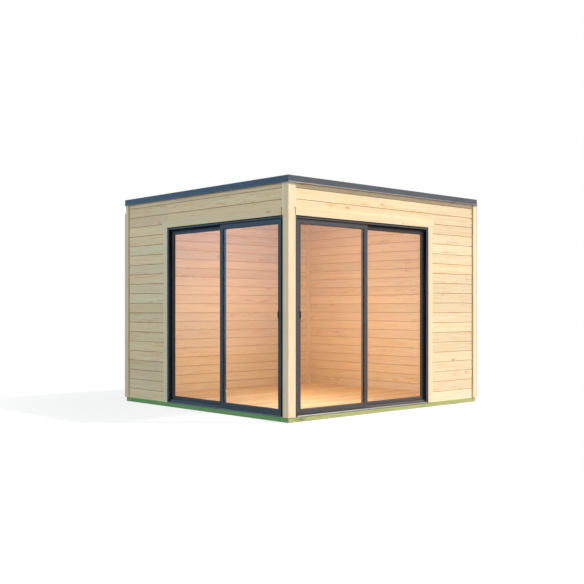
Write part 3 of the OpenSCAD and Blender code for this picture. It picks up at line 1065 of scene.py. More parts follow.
@dataclass
class LogWalls:
    """The six stretches of log wall, each laid log by log.

    Attributes:
        finishes: The cabin's finishes.
        pitch: Height of a course.
        bevel: Size of the bevel on a log's edges, half of the V joint.
        slot: Depth of the dark slot at the bottom of the joint.
        relief: Half of that slot's height.
        arris: Bevel of an edge that meets no other log.
    """

    finishes: Finishes
    pitch: float = 0.114
    bevel: float = 0.004
    slot: float = 0.005
    relief: float = 0.0006
    arris: float = 0.001

    def log_section(self, low: Array, high: Array, jointed: tuple[bool, bool]) -> Array:
        """Draws a log's section in depth and height.

        Args:
            low: Its outer face and underside.
            high: Its inner face and top.
            jointed: Whether its underside and its top meet another log.

        Returns:
            The outline, counter-clockwise with depth to the right.
        """
        b, g, e, r = self.bevel, self.slot, self.relief, self.arris
        (d0, z0), (d1, z1) = low, high
        lower = (
            [(d0, z0 + b), (d0 + b, z0 + e), (d0 + b + g, z0 + e), (d0 + b + g, z0),
             (d1 - b - g, z0), (d1 - b - g, z0 + e), (d1 - b, z0 + e), (d1, z0 + b)]
            if jointed[0] else [(d0, z0 + r), (d0 + r, z0), (d1 - r, z0), (d1, z0 + r)]
        )
        upper = (
            [(d1, z1 - b), (d1 - b, z1 - e), (d1 - b - g, z1 - e), (d1 - b - g, z1),
             (d0 + b + g, z1), (d0 + b + g, z1 - e), (d0 + b, z1 - e), (d0, z1 - b)]
            if jointed[1] else [(d1, z1 - r), (d1 - r, z1), (d0 + r, z1), (d0, z1 - r)]
        )
        return np.array(lower + upper)

    def joint_depth(self, places: Array, face: float, back: float) -> Array:
        """Returns how deep places, given as d and z, lie in a joint, 1 at the V's root."""
        inside = np.minimum(places[:, 0] - face, back - places[:, 0])
        return np.clip(inside / self.bevel, 0, 1)

    def stretch(self, node: str, side: Facade, seed: int) -> list[Shape]:
        """Lays one stretch of wall.

        Args:
            node: The CAD node that it stands for.
            side: The side that it is on.
            seed: Starts its chance numbers.

        Returns:
            Its logs from the bottom up, in the world.
        """
        low, high = side.box(node)
        first, last = math.floor(low[2] / self.pitch) + 1, math.ceil(high[2] / self.pitch)
        whole = np.arange(first, last)
        levels = np.concatenate([[low[2]], whole * self.pitch, [high[2]]])
        lumber = Lumber(seed)
        logs = []
        for n, (z0, z1) in enumerate(zip(levels[:-1], levels[1:])):
            joints = (n > 0, n < len(levels) - 2)
            section = self.log_section(np.array([low[1], z0]), np.array([high[1], z1]), joints)
            bar = lumber.board(section, low[0], high[0], 0.0)
            bar.board[:, 2] = self.joint_depth(bar.points[:, 1:], low[1], high[1])
            logs.append(bar.on(side))
        return logs

    def build(self) -> list[Object]:
        """Builds every wall and returns the pieces, the two long walls in three each."""
        pieces = []
        walls = [
            ("front_header", Facade.FRONT, 1), ("front_panel", Facade.FRONT, 1),
            ("left_header", Facade.LEFT, 1), ("left_panel", Facade.LEFT, 1),
            ("back_wall", Facade.BACK, 3), ("right_wall", Facade.RIGHT, 3),
        ]
        for number, (node, side, parts) in enumerate(walls):
            logs = self.stretch(node, side, Seed.WALLS + number)
            groups = np.array_split(np.arange(len(logs)), parts)
            for name, group in zip(wall_pieces(node, parts), groups):
                laid = [logs[i] for i in group]
                pieces.append(add_piece(name, laid, self.finishes.logs, [node]))
        return pieces


@dataclass
class Corners:
    """Posts, cover boards, inner battens and the strips beside the near post.

    Attributes:
        finishes: The cabin's finishes.
        arris: Rounding of the planed edges.
        batten: Side of the inner battens.
        gap: Width and depth of the shadow gap between the left strip and its door frame.
        notch: Depth of the notch beside the front head casing.
        block: Rounding of the block in that notch.
        cover: Width of the cover boards.
        drop: How much lower the back wall's cover board ends than the right wall's.
    """

    finishes: Finishes
    arris: float = 0.0025
    batten: float = 0.042
    gap: tuple[float, float] = (0.009, 0.020)
    notch: float = 0.007
    block: float = 0.0005
    cover: float = 0.095
    drop: float = 0.097

    def build(self) -> list[Object]:
        """Builds the corner timber and returns the pieces."""
        return [self.near_post(), self.far_posts(), *self.strips(), self.covers(), self.battens()]

    def near_post(self) -> Object:
        """Builds the post between the two doors and returns the piece."""
        stick = Lumber(Seed.NEAR_POST).stick(*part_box("near_post"), self.arris)
        return add_piece("near_corner_post", [stick], self.finishes.posts, ["near_post"])

    def far_posts(self) -> Object:
        """Builds the posts at the other corners and returns the piece."""
        low, high = map(np.array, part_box("far_posts"))
        side = Facade.RIGHT.box("right_wall")[0][0]
        lumber = Lumber(Seed.FAR_POSTS)
        sticks = []
        for x, y in ((1, 0), (0, 1), (1, 1)):
            start = low + np.array([x, y, 0]) * (high - low - side)
            sticks.append(lumber.stick(start, start + (side, side, high[2] - low[2]), self.arris))
        return add_piece(
            "far_corner_posts", sticks, self.finishes.posts, ["far_posts"]
        )

    def strips(self) -> list[Object]:
        """Builds the strips between the near post and the door frames.

        Returns:
            One piece for each glazed side.
        """
        pieces = []
        width, depth = self.gap
        for number, side in enumerate((Facade.FRONT, Facade.LEFT)):
            node = f"{side.stem}_jamb_strip"
            low, high = side.box(node)
            door = side.box(f"{side.stem}_head")[1][2]
            casing = side.box(f"{side.stem}_casings")
            lumber = Lumber(Seed.STRIPS + number)
            upper = casing[1][2] if side is Facade.FRONT else door
            outer = high[0] - (width if side is Facade.LEFT else 0.0)
            boxes = [
                (low, (outer, high[1], door), self.arris),
                ((low[0], low[1], upper), (high[0], casing[1][1], high[2]), self.arris),
            ]
            if side is Facade.LEFT:
                boxes.append(((outer, depth, low[2]), (high[0], high[1], door), self.arris))
            else:
                end = (high[0], casing[1][1], upper)
                boxes.append(((low[0], self.notch, door), end, self.block))
            sticks = [lumber.stick(*box).on(side) for box in boxes]
            pieces.append(add_piece(f"{node}_timber", sticks, self.finishes.posts, [node]))
        return pieces

    def covers(self) -> Object:
        """Builds the cover boards on the far corners and returns the piece."""
        low, high = map(np.array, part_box("corner_cover_boards"))
        width, x, y = self.cover, PLAN.half_x, PLAN.half_y
        back = y + (high[0] - x)
        lumber = Lumber(Seed.COVERS)
        boxes = [
            ((x, low[1], low[2]), (high[0], low[1] + width, high[2])),
            ((x, y - width, low[2]), (high[0], y, high[2])),
            ((low[0], y, low[2]), (low[0] + width, back, high[2] - self.drop)),
        ]
        sticks = [lumber.stick(a, b, self.arris) for a, b in boxes]
        return add_piece(
            "far_corner_cover_boards", sticks, self.finishes.posts, ["corner_cover_boards"]
        )

    def battens(self) -> Object:
        """Builds the battens in the inside corners, rebated over the posts.

        The section is a square less a smaller square at its outer corner.

        Returns:
            The piece.
        """
        low, high = map(np.array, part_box("inner_corner_battens"))
        full, edge, nose = self.batten, 0.001, 0.006
        cut = Facade.RIGHT.box("right_wall")[0][0] - (PLAN.half_x - high[0])
        outline = rounded(
            np.array([(cut, 0), (full, 0), (full, full), (0, full), (0, cut), (cut, cut)]),
            [0, edge, nose, edge, 0, 0], 3,
        )
        lumber = Lumber(Seed.BATTENS)
        sticks = []
        for x, y in ((1, -1), (-1, 1), (1, 1)):
            stick = lumber.board(outline, low[2], high[2]).standing()
            corner = np.array([high[0] if x > 0 else low[0], high[1] if y > 0 else low[1], 0])
            points = stick.points * (-x, -y, 1) + corner
            faces = [f[:, ::-1] for f in stick.faces] if x * y < 0 else stick.faces
            sticks.append(Shape(points, faces, stick.grain, stick.board))
        return add_piece(
            "inside_corner_battens", sticks, self.finishes.posts, ["inner_corner_battens"]
        )


@dataclass
class Casings:
    """Casing boards round the two doorways, with their screws.

    Attributes:
        finishes: The cabin's finishes.
        arris: Rounding of the boards' edges.
        short: How far the upright board stands back from the head board's end.
        joint: Gap between the upright board and the head board.
        pitch: Distance between the screws in the upright board.
        foot: Height of the lowest of them.
        free: Least room between the highest of them and the head board.
        row: Number of screws in each of the head board's two rows.
        end: Distance of a row's first and last screw from the board's ends.
        edge: Distance of a row from the board's edge.
    """

    finishes: Finishes
    arris: float = 0.002
    short: float = 0.025
    joint: float = 0.0003
    pitch: float = 0.45
    foot: float = 0.12
    free: float = 0.05
    row: int = 6
    end: float = 0.06
    edge: float = 0.025

    def build(self) -> list[Object]:
        """Builds the casings and their screws, and returns the pieces."""
        pieces, screws = [], []
        profile = np.array([(0.0035, -0.001), (0.0035, 0.0002), (0.0026, 0.0008)])
        head = turned_on_axis(profile, 10).facing()
        for number, side in enumerate((Facade.FRONT, Facade.LEFT)):
            node = f"{side.stem}_casings"
            low, high = side.box(node)
            door = side.box(f"{side.stem}_head")[1]
            lumber = Lumber(Seed.CASINGS + number)
            run = high[0] - self.short
            boxes = [
                ((door[0], low[1], low[2]), (run, high[1], door[2] - self.joint)),
                ((low[0], low[1], door[2]), high),
            ]
            sticks = [lumber.stick(*box, self.arris).on(side) for box in boxes]
            posts = self.finishes.posts
            pieces.append(add_piece(f"{node}_boards", sticks, posts, [node]))
            places = self.screw_places(low, high, door, (door[0] + run) / 2)
            screws.append(repeated(head, np.insert(places, 1, low[1], axis=1)).on(side))
        pieces.append(add_piece("casing_screws", screws, self.finishes.steel))
        return pieces

    def screw_places(self, low: Array, high: Array, door: Array, middle: float) -> Array:
        """Works out where the screws of one doorway's casings are.

        Args:
            low: The casings' low corner.
            high: Their high corner.
            door: The high corner of the door frame.
            middle: The upright board's middle.

        Returns:
            The screws' s and z, (n, 2).
        """
        upright = np.arange(low[2] + self.foot, door[2] - self.free, self.pitch)
        level = np.linspace(low[0] + self.end, high[0] - self.end, self.row)
        return np.concatenate([
            np.stack([np.full(len(upright), middle), upright], 1),
            np.stack([level, np.full(self.row, door[2] + self.edge)], 1),
            np.stack([level, np.full(self.row, high[2] - self.edge)], 1),
        ])


# ---------------- sliding doors


class Kind(Enum):
    """The two leaves of a door, by the names that their CAD nodes have."""

    FIXED = "fixed"
    SLIDER = "slider"


@dataclass(frozen=True)
class Leaf:
    """Where one leaf stands in its side's coordinates.

    Attributes:
        kind: Which leaf it is.
        low: Its low corner.
        high: Its high corner.
        near: Width of its near stile.
        far: Width of its far stile.
        rail: Height of its rails.
        pane: Depths of the glass's two faces.
    """

    kind: Kind
    low: Array
    high: Array
    near: float
    far: float
    rail: float
    pane: tuple[float, float]

    @classmethod
    def measured(cls, side: Facade, kind: Kind, edge: float) -> "Leaf":
        """Reads a leaf from the frame.

        Args:
            side: The side that it is on.
            kind: Which leaf it is.
            edge: How deep the glass stands in its groove.

        Returns:
            The leaf.
        """
        stem = f"{side.stem}_{kind.value}"
        low, high = side.box(f"{stem}_stiles")
        rails = side.box(f"{stem}_rails")
        glass = side.box(f"{stem}_glass")
        return cls(
            kind, low, high, rails[0][0] - low[0], high[0] - rails[1][0],
            glass[0][2] + edge - low[2], (glass[0][1], glass[1][1]),
        )


@dataclass
class SlidingDoor:
    """One side's glazed door: a frame with a fixed leaf and a leaf that slides.

    Attributes:
        side: The side that it is on.
        finishes: The cabin's finishes.
        edge: How deep the glass stands in its groove.
        rib: Thickness of the track ribs.
        wall: Thickness of a leaf's walls beside its channels.
        channel_low: Depth of the channel in a leaf's underside.
        channel_high: Depth of the channel in its top.
        plate: Thickness of the sill plate.
        track: Height of the running rib over the plate.
        lip: The drip edge's slope's depth, its flat and its height.
        toe: Thickness of the drip edge at its toe.
        upstand: Thickness of the sill's rear upstand.
        strip: Width of the sealing strips.
        beside: How far the dark strip of painted shade beside the near post runs over
            the gap and the jamb.
        stops: Heights of the rubber stops' feet.
        groove: Depth of the fine groove in the jambs and the head.
        line: Distance of the fine line on a leaf's face from the glass's edge.
        slope: Size of the bevel beside the glass.
        bite: Depth of the groove that holds the glass.
        play: Free room between the glass and that groove's sides.
        radius: Rounding of the extrusions' edges.
    """

    side: Facade
    finishes: Finishes
    edge: float = 0.007
    rib: float = 0.006
    wall: float = 0.003
    channel_low: float = 0.028
    channel_high: float = 0.020
    plate: float = 0.008
    track: float = 0.028
    lip: tuple[float, float, float] = (0.007, 0.002, 0.012)
    toe: float = 0.002
    upstand: float = 0.004
    strip: float = 0.012
    beside: dict[Facade, tuple[float, float]] = field(default_factory=lambda: {
        Facade.FRONT: (-0.0005, 0.006), Facade.LEFT: (0.0085, 0.018),
    })
    stops: tuple[float, ...] = (0.35, 1.0, 1.62)
    groove: float = 0.0015
    line: float = 0.016
    slope: float = 0.0025
    bite: float = 0.008
    play: float = 0.001
    radius: float = 0.0012

    def __post_init__(self) -> None:
        """Reads the door's places from the frame."""
        self.stem = self.side.stem
        self.jambs, self.head, self.sill = (
            self.side.box(f"{self.stem}_{node}") for node in ("jambs", "head", "sill")
        )
        self.slider = Leaf.measured(self.side, Kind.SLIDER, self.edge)
        self.fixed = Leaf.measured(self.side, Kind.FIXED, self.edge)

    def add(
        self, name: str, shapes: Sequence[Shape], finish: Material, slot: str,
        nodes: Sequence[str] = (), sliding: bool = False, smooth: float = 0.0,
    ) -> Object:
        """Makes one of the door's pieces.

        Args:
            name: Its name after the side's.
            shapes: Its shapes, in the side's coordinates.
            finish: Its material.
            slot: Not used.
            nodes: CAD nodes that it replaces, named after the side's name.
            sliding: Whether it moves with the sliding leaf.
            smooth: As add_piece takes it.

        Returns:
            The piece.
        """
        body = f"{self.stem}_slider" if sliding else "cabin"
        return add_piece(
            f"{self.stem}_{name}", [Shape.joined(shapes).on(self.side)], finish,
            [f"{self.stem}_{node}" for node in nodes], body, smooth,
        )

    def add_to_leaf(
        self, leaf: Leaf, name: str, shapes: Sequence[Shape], finish: Material,
        nodes: Sequence[str] = (),
    ) -> Object:
        """Makes one of a leaf's pieces, all as add takes it, with names after the leaf's."""
        kind = leaf.kind.value
        nodes = [f"{kind}_{node}" for node in nodes]
        return self.add(f"{kind}_{name}", shapes, finish, "leaf", nodes, leaf.kind is Kind.SLIDER)

    def build(self) -> list[Object]:
        """Builds the frame, both leaves and their fittings, and returns the pieces."""
        return [
            self.build_jambs(), self.build_head(), self.build_sill(), self.build_seals(),
            *self.build_leaf(self.fixed), *self.build_leaf(self.slider),
            self.build_handle(), *self.build_wheels(),
        ]

    def middles(self) -> tuple[float, float]:
        """Returns the depths of the slider's and the fixed leaf's middles."""
        return tuple((leaf.low[1] + leaf.high[1]) / 2 for leaf in (self.slider, self.fixed))

    def fine_groove(self, face: float) -> tuple[Array, Array]:
        """Draws the fine groove behind the frame's face.

        Args:
            face: Depth of the face.

        Returns:
            The depths of the groove's four corners and how far each lies in.
        """
        depths = face + np.array([0.0045, 0.005, 0.0065, 0.007])
        return depths, np.array([0, self.groove, self.groove, 0])

    def build_jambs(self) -> Object:
        """Builds the two jambs, each a section in s and d carried up.

        The near jamb has the closing rib that the shut leaf comes up to.

        Returns:
            The piece.
        """
        low, high = self.jambs
        width = self.sill[0][0] - low[0]
        depths, inset = self.fine_groove(low[1])
        outline = np.array([
            (0, low[1]), (width, low[1]), *zip(width - inset, depths),
            (width, high[1]), (0, high[1]),
        ])
        radii = [self.radius, self.radius, 0, 0, 0, 0, self.radius, self.radius]
        near = rounded(outline + (low[0], 0), radii)
        far = rounded((outline * (-1, 1))[::-1] + (high[0], 0), radii[::-1])
        middle, half, sunk, clear, edge = self.middles()[0], 0.008, 0.001, 0.005, 0.001
        start, end = low[0] + width - sunk, self.slider.low[0] - clear
        closer = rounded(oblong((start, middle - half), (end, middle + half)), [0, edge, edge, 0])
        bars = [
            carried(near, low[2], high[2]).standing(),
            carried(far, low[2], high[2]).standing(),
            carried(closer, self.plate + self.track, high[2]).standing(),
        ]
        return self.add("frame_jambs", bars, self.finishes.frame, "door_frame", ["jambs"])

    def build_head(self) -> Object:
        """Builds the frame's head and its two guide ribs, and returns the piece."""
        low, high = self.head
        under = self.jambs[1][2]
        depths, inset = self.fine_groove(low[1])
        outline = np.array([
            (low[1], under), *zip(depths, under + inset), (high[1], under),
            (high[1], high[2]), (low[1], high[2]),
        ])
        block = rounded(outline, [self.radius, 0, 0, 0, 0, self.radius, self.radius, self.radius])
        bars = [carried(block, low[0], high[0], 0.0003)]
        for middle in self.middles():
            rib = oblong((middle - self.rib / 2, low[2]), (middle + self.rib / 2, under + 0.001))
            bars.append(carried(rounded(rib, 0.0008), self.slider.low[0], self.sill[1][0]))
        return self.add("frame_head", bars, self.finishes.head, "door_frame", ["head"])

    def build_sill(self) -> Object:
        """Builds the sill: plate, drip edge, running rib, fixed rib and rear upstand.

        The section is one closed outline in d and z.

        Returns:
            The piece.
        """
        low, high = self.sill
        run, flat, rise = self.lip
        front, back, base, t = low[1], high[1], low[2], self.plate
        behind = back - self.upstand
        slide, fixed = self.middles()
        r, mid = self.rib / 2, (slide + fixed) / 2
        ribs = [(fixed, high[2]), (mid, t + self.track / 2), (slide, t + self.track)]
        outline = np.array([
            (front, base), (back, base), (back, self.fixed.low[2]), (behind, self.fixed.low[2]),
            (behind, t),
            *((d + x, z) for d, top in ribs for x, z in ((r, t), (r, top), (-r, top), (-r, t))),
            (front + run + flat, t), (front + run + flat, rise), (front + run, rise),
            (front, self.toe),
        ])
        radii = np.full(len(outline), 0.0006)
        radii[[14, 15]] = 0.0025
        bar = carried(rounded(outline, radii), low[0], high[0])
        return self.add("sill_extrusion", [bar], self.finishes.sill, "sill", ["sill"])

    def build_seals(self) -> Object:
        """Builds the sealing strips of the frame and the stops on the far jamb.

        Strips run down the fixed meeting stile, beside the near post and down the far
        jamb's inner face, and along under the casing and on the slider's guide rib. The
        strips beside the near post, on the far jamb's inner face, under the casing and on
        the guide rib are dark strips put where shade falls: painted shade.

        Returns:
            The piece.
        """
        low, high = self.jambs[0], self.head[1]
        end, thin, skin = self.sill[1][0], self.strip / 6, 0.001
        s0, face = self.fixed.low[0] + 0.004, self.fixed.low[1]
        meeting = rounded(oblong((s0, face - 0.0028), (s0 + 0.006, face + 0.001)), 0.001)
        z0, z1 = self.fixed.low[2] + 0.03, self.fixed.high[2] - 0.03
        bars = [carried(meeting, z0, z1, 0.001).standing()]
        # Painted shade: dark strips beside the near post and down the far jamb's inner face, where
        # those corners lie in shade.
        reach, cover = self.beside[self.side]
        beside = oblong((low[0] - reach, low[1] - thin), (low[0] + cover, low[1] + thin))
        inner = oblong((end - thin, low[1] + 0.004), (end + thin, self.fixed.low[1] - 0.002))
        for strip in (beside, inner):
            bars.append(carried(strip, self.plate + 0.006, self.jambs[1][2] - skin).standing())
        # Painted shade: a dark strip under the casing, where its shadow falls on the head.
        above = oblong((low[1] - 2 * thin, high[2] - self.strip * 0.7), (low[1] + thin, high[2]))
        bars.append(carried(above, low[0], high[0]))
        # Painted shade: a dark strip on the guide rib, in the shade under the head.
        depth = self.middles()[0]
        front = depth - self.rib / 2
        facing = oblong((front - skin, self.head[0][2] + skin), (front + skin, self.jambs[1][2]))
        bars.append(carried(facing, self.slider.high[0], end))
        half, tall, edge = 0.009, 0.045, 0.003
        stop = rounded(oblong((end - 0.007, depth - half), (end + 0.0005, depth + half)), edge, 3)
        bars += [carried(stop, z, z + tall, edge).standing() for z in self.stops]
        return self.add("shade_strips_seals_and_stops", bars, self.finishes.gasket, "door_frame")

    def fine_line(self, edge: float) -> tuple[Array, Array]:
        """Draws the fine line on a leaf's face.

        Args:
            edge: Where the glass begins, in s or z.

        Returns:
            The places of the line's four corners and how deep each lies.
        """
        places = edge - self.line + np.array([0, 0.0005, 0.0015, 0.002])
        return places, np.array([0, 0.001, 0.001, 0])

    def stile_section(self, width: float, depth: Array, pane: tuple[float, float]) -> Array:
        """Draws a stile with the glass on its high side.

        The outline runs round the stile and takes in a fine line beside the bead, the
        bead's slope and the groove that holds the glass.

        Args:
            width: The stile's width.
            depth: Its front and back face.
            pane: The glass's two faces.

        Returns:
            The outline in s and d, counter-clockwise.
        """
        w, slope, bite = width, self.slope, self.bite
        (d0, d1), (p0, p1) = depth, (pane[0] - self.play, pane[1] + self.play)
        places, depths = self.fine_line(w)
        outline = np.array([
            (0, d0), *zip(places, d0 + depths), (w - slope, d0), (w, d0 + slope), (w, p0),
            (w - bite, p0), (w - bite, p1), (w, p1), (w, d1 - slope), (w - slope, d1), (0, d1),
        ])
        radii = np.zeros(len(outline))
        radii[[0, -1]] = self.radius
        return rounded(outline, radii)

    def build_leaf(self, leaf: Leaf) -> list[Object]:
        """Builds a leaf's stiles, rails and gaskets, and dresses its glass.

        Args:
            leaf: The leaf.

        Returns:
            The pieces.
        """
        low, high = leaf.low, leaf.high
        lower, upper = low[2] + self.channel_low, high[2] - self.channel_high
        bars = []
        for s, width, way in ((low[0], leaf.near, 1), (high[0], leaf.far, -1)):
            section = self.stile_section(width, (low[1], high[1]), leaf.pane)
            cheeks = [
                rounded(oblong((0, low[1]), (width, low[1] + self.wall)), [self.radius, 0, 0, 0]),
                rounded(oblong((0, high[1] - self.wall), (width, high[1])), [0, 0, 0, self.radius]),
            ]
            outlines = [(section, lower, upper)]
            for cheek in cheeks:
                outlines += [(cheek, low[2], lower), (cheek, upper, high[2])]
            for outline, z0, z1 in outlines:
                flat = outline if way > 0 else (outline * (-1, 1))[::-1]
                bars.append(carried(flat + (s, 0), z0, z1).standing())
        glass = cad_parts[f"{self.stem}_{leaf.kind.value}_glass"]
        glass.data.materials.clear()
        glass.data.materials.append(self.finishes.glass)
        stiles = self.add_to_leaf(leaf, "leaf_stiles", bars, self.finishes.frame, ["stiles"])
        return [stiles, self.build_rails(leaf), self.build_gaskets(leaf)]

    def build_gaskets(self, leaf: Leaf) -> Object:
        """Builds the gaskets before and behind a leaf's glass, each with a lip.

        Args:
            leaf: The leaf.

        Returns:
            The piece.
        """
        sunk, back, front = -0.006, 0.0012, -0.0016
        section = np.array([
            (sunk, 0.0), (0.0, 0.0), (0.0, front), (0.0015, front), (0.0032, back), (sunk, back),
        ])
        off = 0.00125
        corners = (
            (leaf.low[0] + leaf.near, leaf.low[2] + leaf.rail),
            (leaf.high[0] - leaf.far, leaf.high[2] - leaf.rail),
        )
        rings = [
            framed(section + (0, leaf.pane[0] - off), *corners),
            framed((section * (1, -1))[::-1] + (0, leaf.pane[1] + off), *corners),
        ]
        return self.add_to_leaf(leaf, "gaskets", rings, self.finishes.gasket)

    def build_rails(self, leaf: Leaf) -> Object:
        """Builds a leaf's two rails, each one outline in d and z carried along.

        Args:
            leaf: The leaf.

        Returns:
            The piece.
        """
        d0, d1 = leaf.low[1], leaf.high[1]
        p0, p1 = leaf.pane[0] - self.play, leaf.pane[1] + self.play
        h, slope, bite, w = leaf.rail, self.slope, self.bite, self.wall
        places, depths = self.fine_line(h)

        def outline(channel: float) -> Array:
            """Returns the section of a rail with its channel below and its glass above."""
            return np.array([
                (d0, 0), (d0 + w, 0), (d0 + w, channel), (d1 - w, channel), (d1 - w, 0), (d1, 0),
                (d1, h - slope), (d1 - slope, h), (p1, h), (p1, h - bite), (p0, h - bite), (p0, h),
                (d0 + slope, h), (d0, h - slope), *zip(d0 + depths[::-1], places[::-1]),
            ])

        start, end = leaf.low[0] + leaf.near, leaf.high[0] - leaf.far
        lower = outline(self.channel_low) + (0, leaf.low[2])
        upper = (outline(self.channel_high) * (1, -1))[::-1] + (0, leaf.high[2])
        bars = [carried(rail, start, end, 0.0004) for rail in (lower, upper)]
        return self.add_to_leaf(leaf, "leaf_rails", bars, self.finishes.frame, ["rails"])

    def build_handle(self) -> Object:
        """Builds the pull on the sliding leaf's near stile.

        Point (i, j) lies on a stadium outline j moved in by e_i and out by h_i: up the
        rim, over its round and down into the shallow dish.

        Returns:
            The piece.
        """
        low, high = self.side.box(f"{self.stem}_slider_handle")
        width, length, depth = high[0] - low[0], high[2] - low[2], high[1] - low[1]
        half = np.array([width, length]) / 2
        outline = rounded(oblong(-half, half), width / 2.05, 7)
        inset = np.array([0.0, 0.0, 0.04, 0.1, 0.17, 0.22, 0.27, 0.31]) * width
        height = np.array([0.0, 0.9, 0.97, 1.0, 0.97, 0.85, 0.5, 0.42]) * depth
        flat = outline[None] + inset[:, None, None] * mitres(outline)[None]
        up = np.broadcast_to(height[:, None, None], (*flat.shape[:2], 1))
        pull = mesh_of(np.concatenate([flat, up], 2)).facing()
        middle = (low + high) / 2
        return self.add(
            "slider_pull", [repeated(pull, np.array([(middle[0], high[1], middle[2])]))],
            self.finishes.handle, "handle", ["slider_handle"], True, 50.0,
        )

    def build_wheels(self) -> list[Object]:
        """Builds the leaf's two nylon wheels with their groove, and their axles.

        Returns:
            The wheels and the axles.
        """
        low, high = self.side.box(f"{self.stem}_slider_wheels")
        radius, half = (high[2] - low[2]) / 2, self.rib / 2 + 0.001
        bore, waist, web, tread = 0.0034, radius * 0.62, radius * 0.68, radius * 0.94
        hub = half * 0.6
        wheel = turned_on_axis(np.array([
            (bore, -hub), (waist, -hub), (web, -half), (tread, -half), (radius, -half * 0.8),
            (radius, half * 0.8), (tread, half), (web, half), (waist, hub), (bore, hub),
        ]), 28)
        reach, thick, slim, bevel = (high[1] - low[1]) / 2, 0.0032, 0.0024, 0.0008
        axle = turned_on_axis(np.array([
            (slim, -reach), (thick, -reach + bevel), (thick, reach - bevel), (slim, reach),
        ]), 16)
        middle = (low + high) / 2
        places = np.array([(s, middle[1], middle[2]) for s in (low[0] + radius, high[0] - radius)])
        parts = (("wheels", wheel, self.finishes.nylon), ("axles", axle, self.finishes.steel))
        pieces = []
        for name, shape, finish in parts:
            pieces.append(self.add(
                f"slider_{name}_fitted", [repeated(shape.facing(), places)], finish, "wheels",
                ["slider_wheels"], True, 40.0,
            ))
        return pieces


# ---------------- roof


# Cosine and sine of each quarter turn
QUARTERS = ((1, 0), (0, 1), (-1, 0), (0, -1))


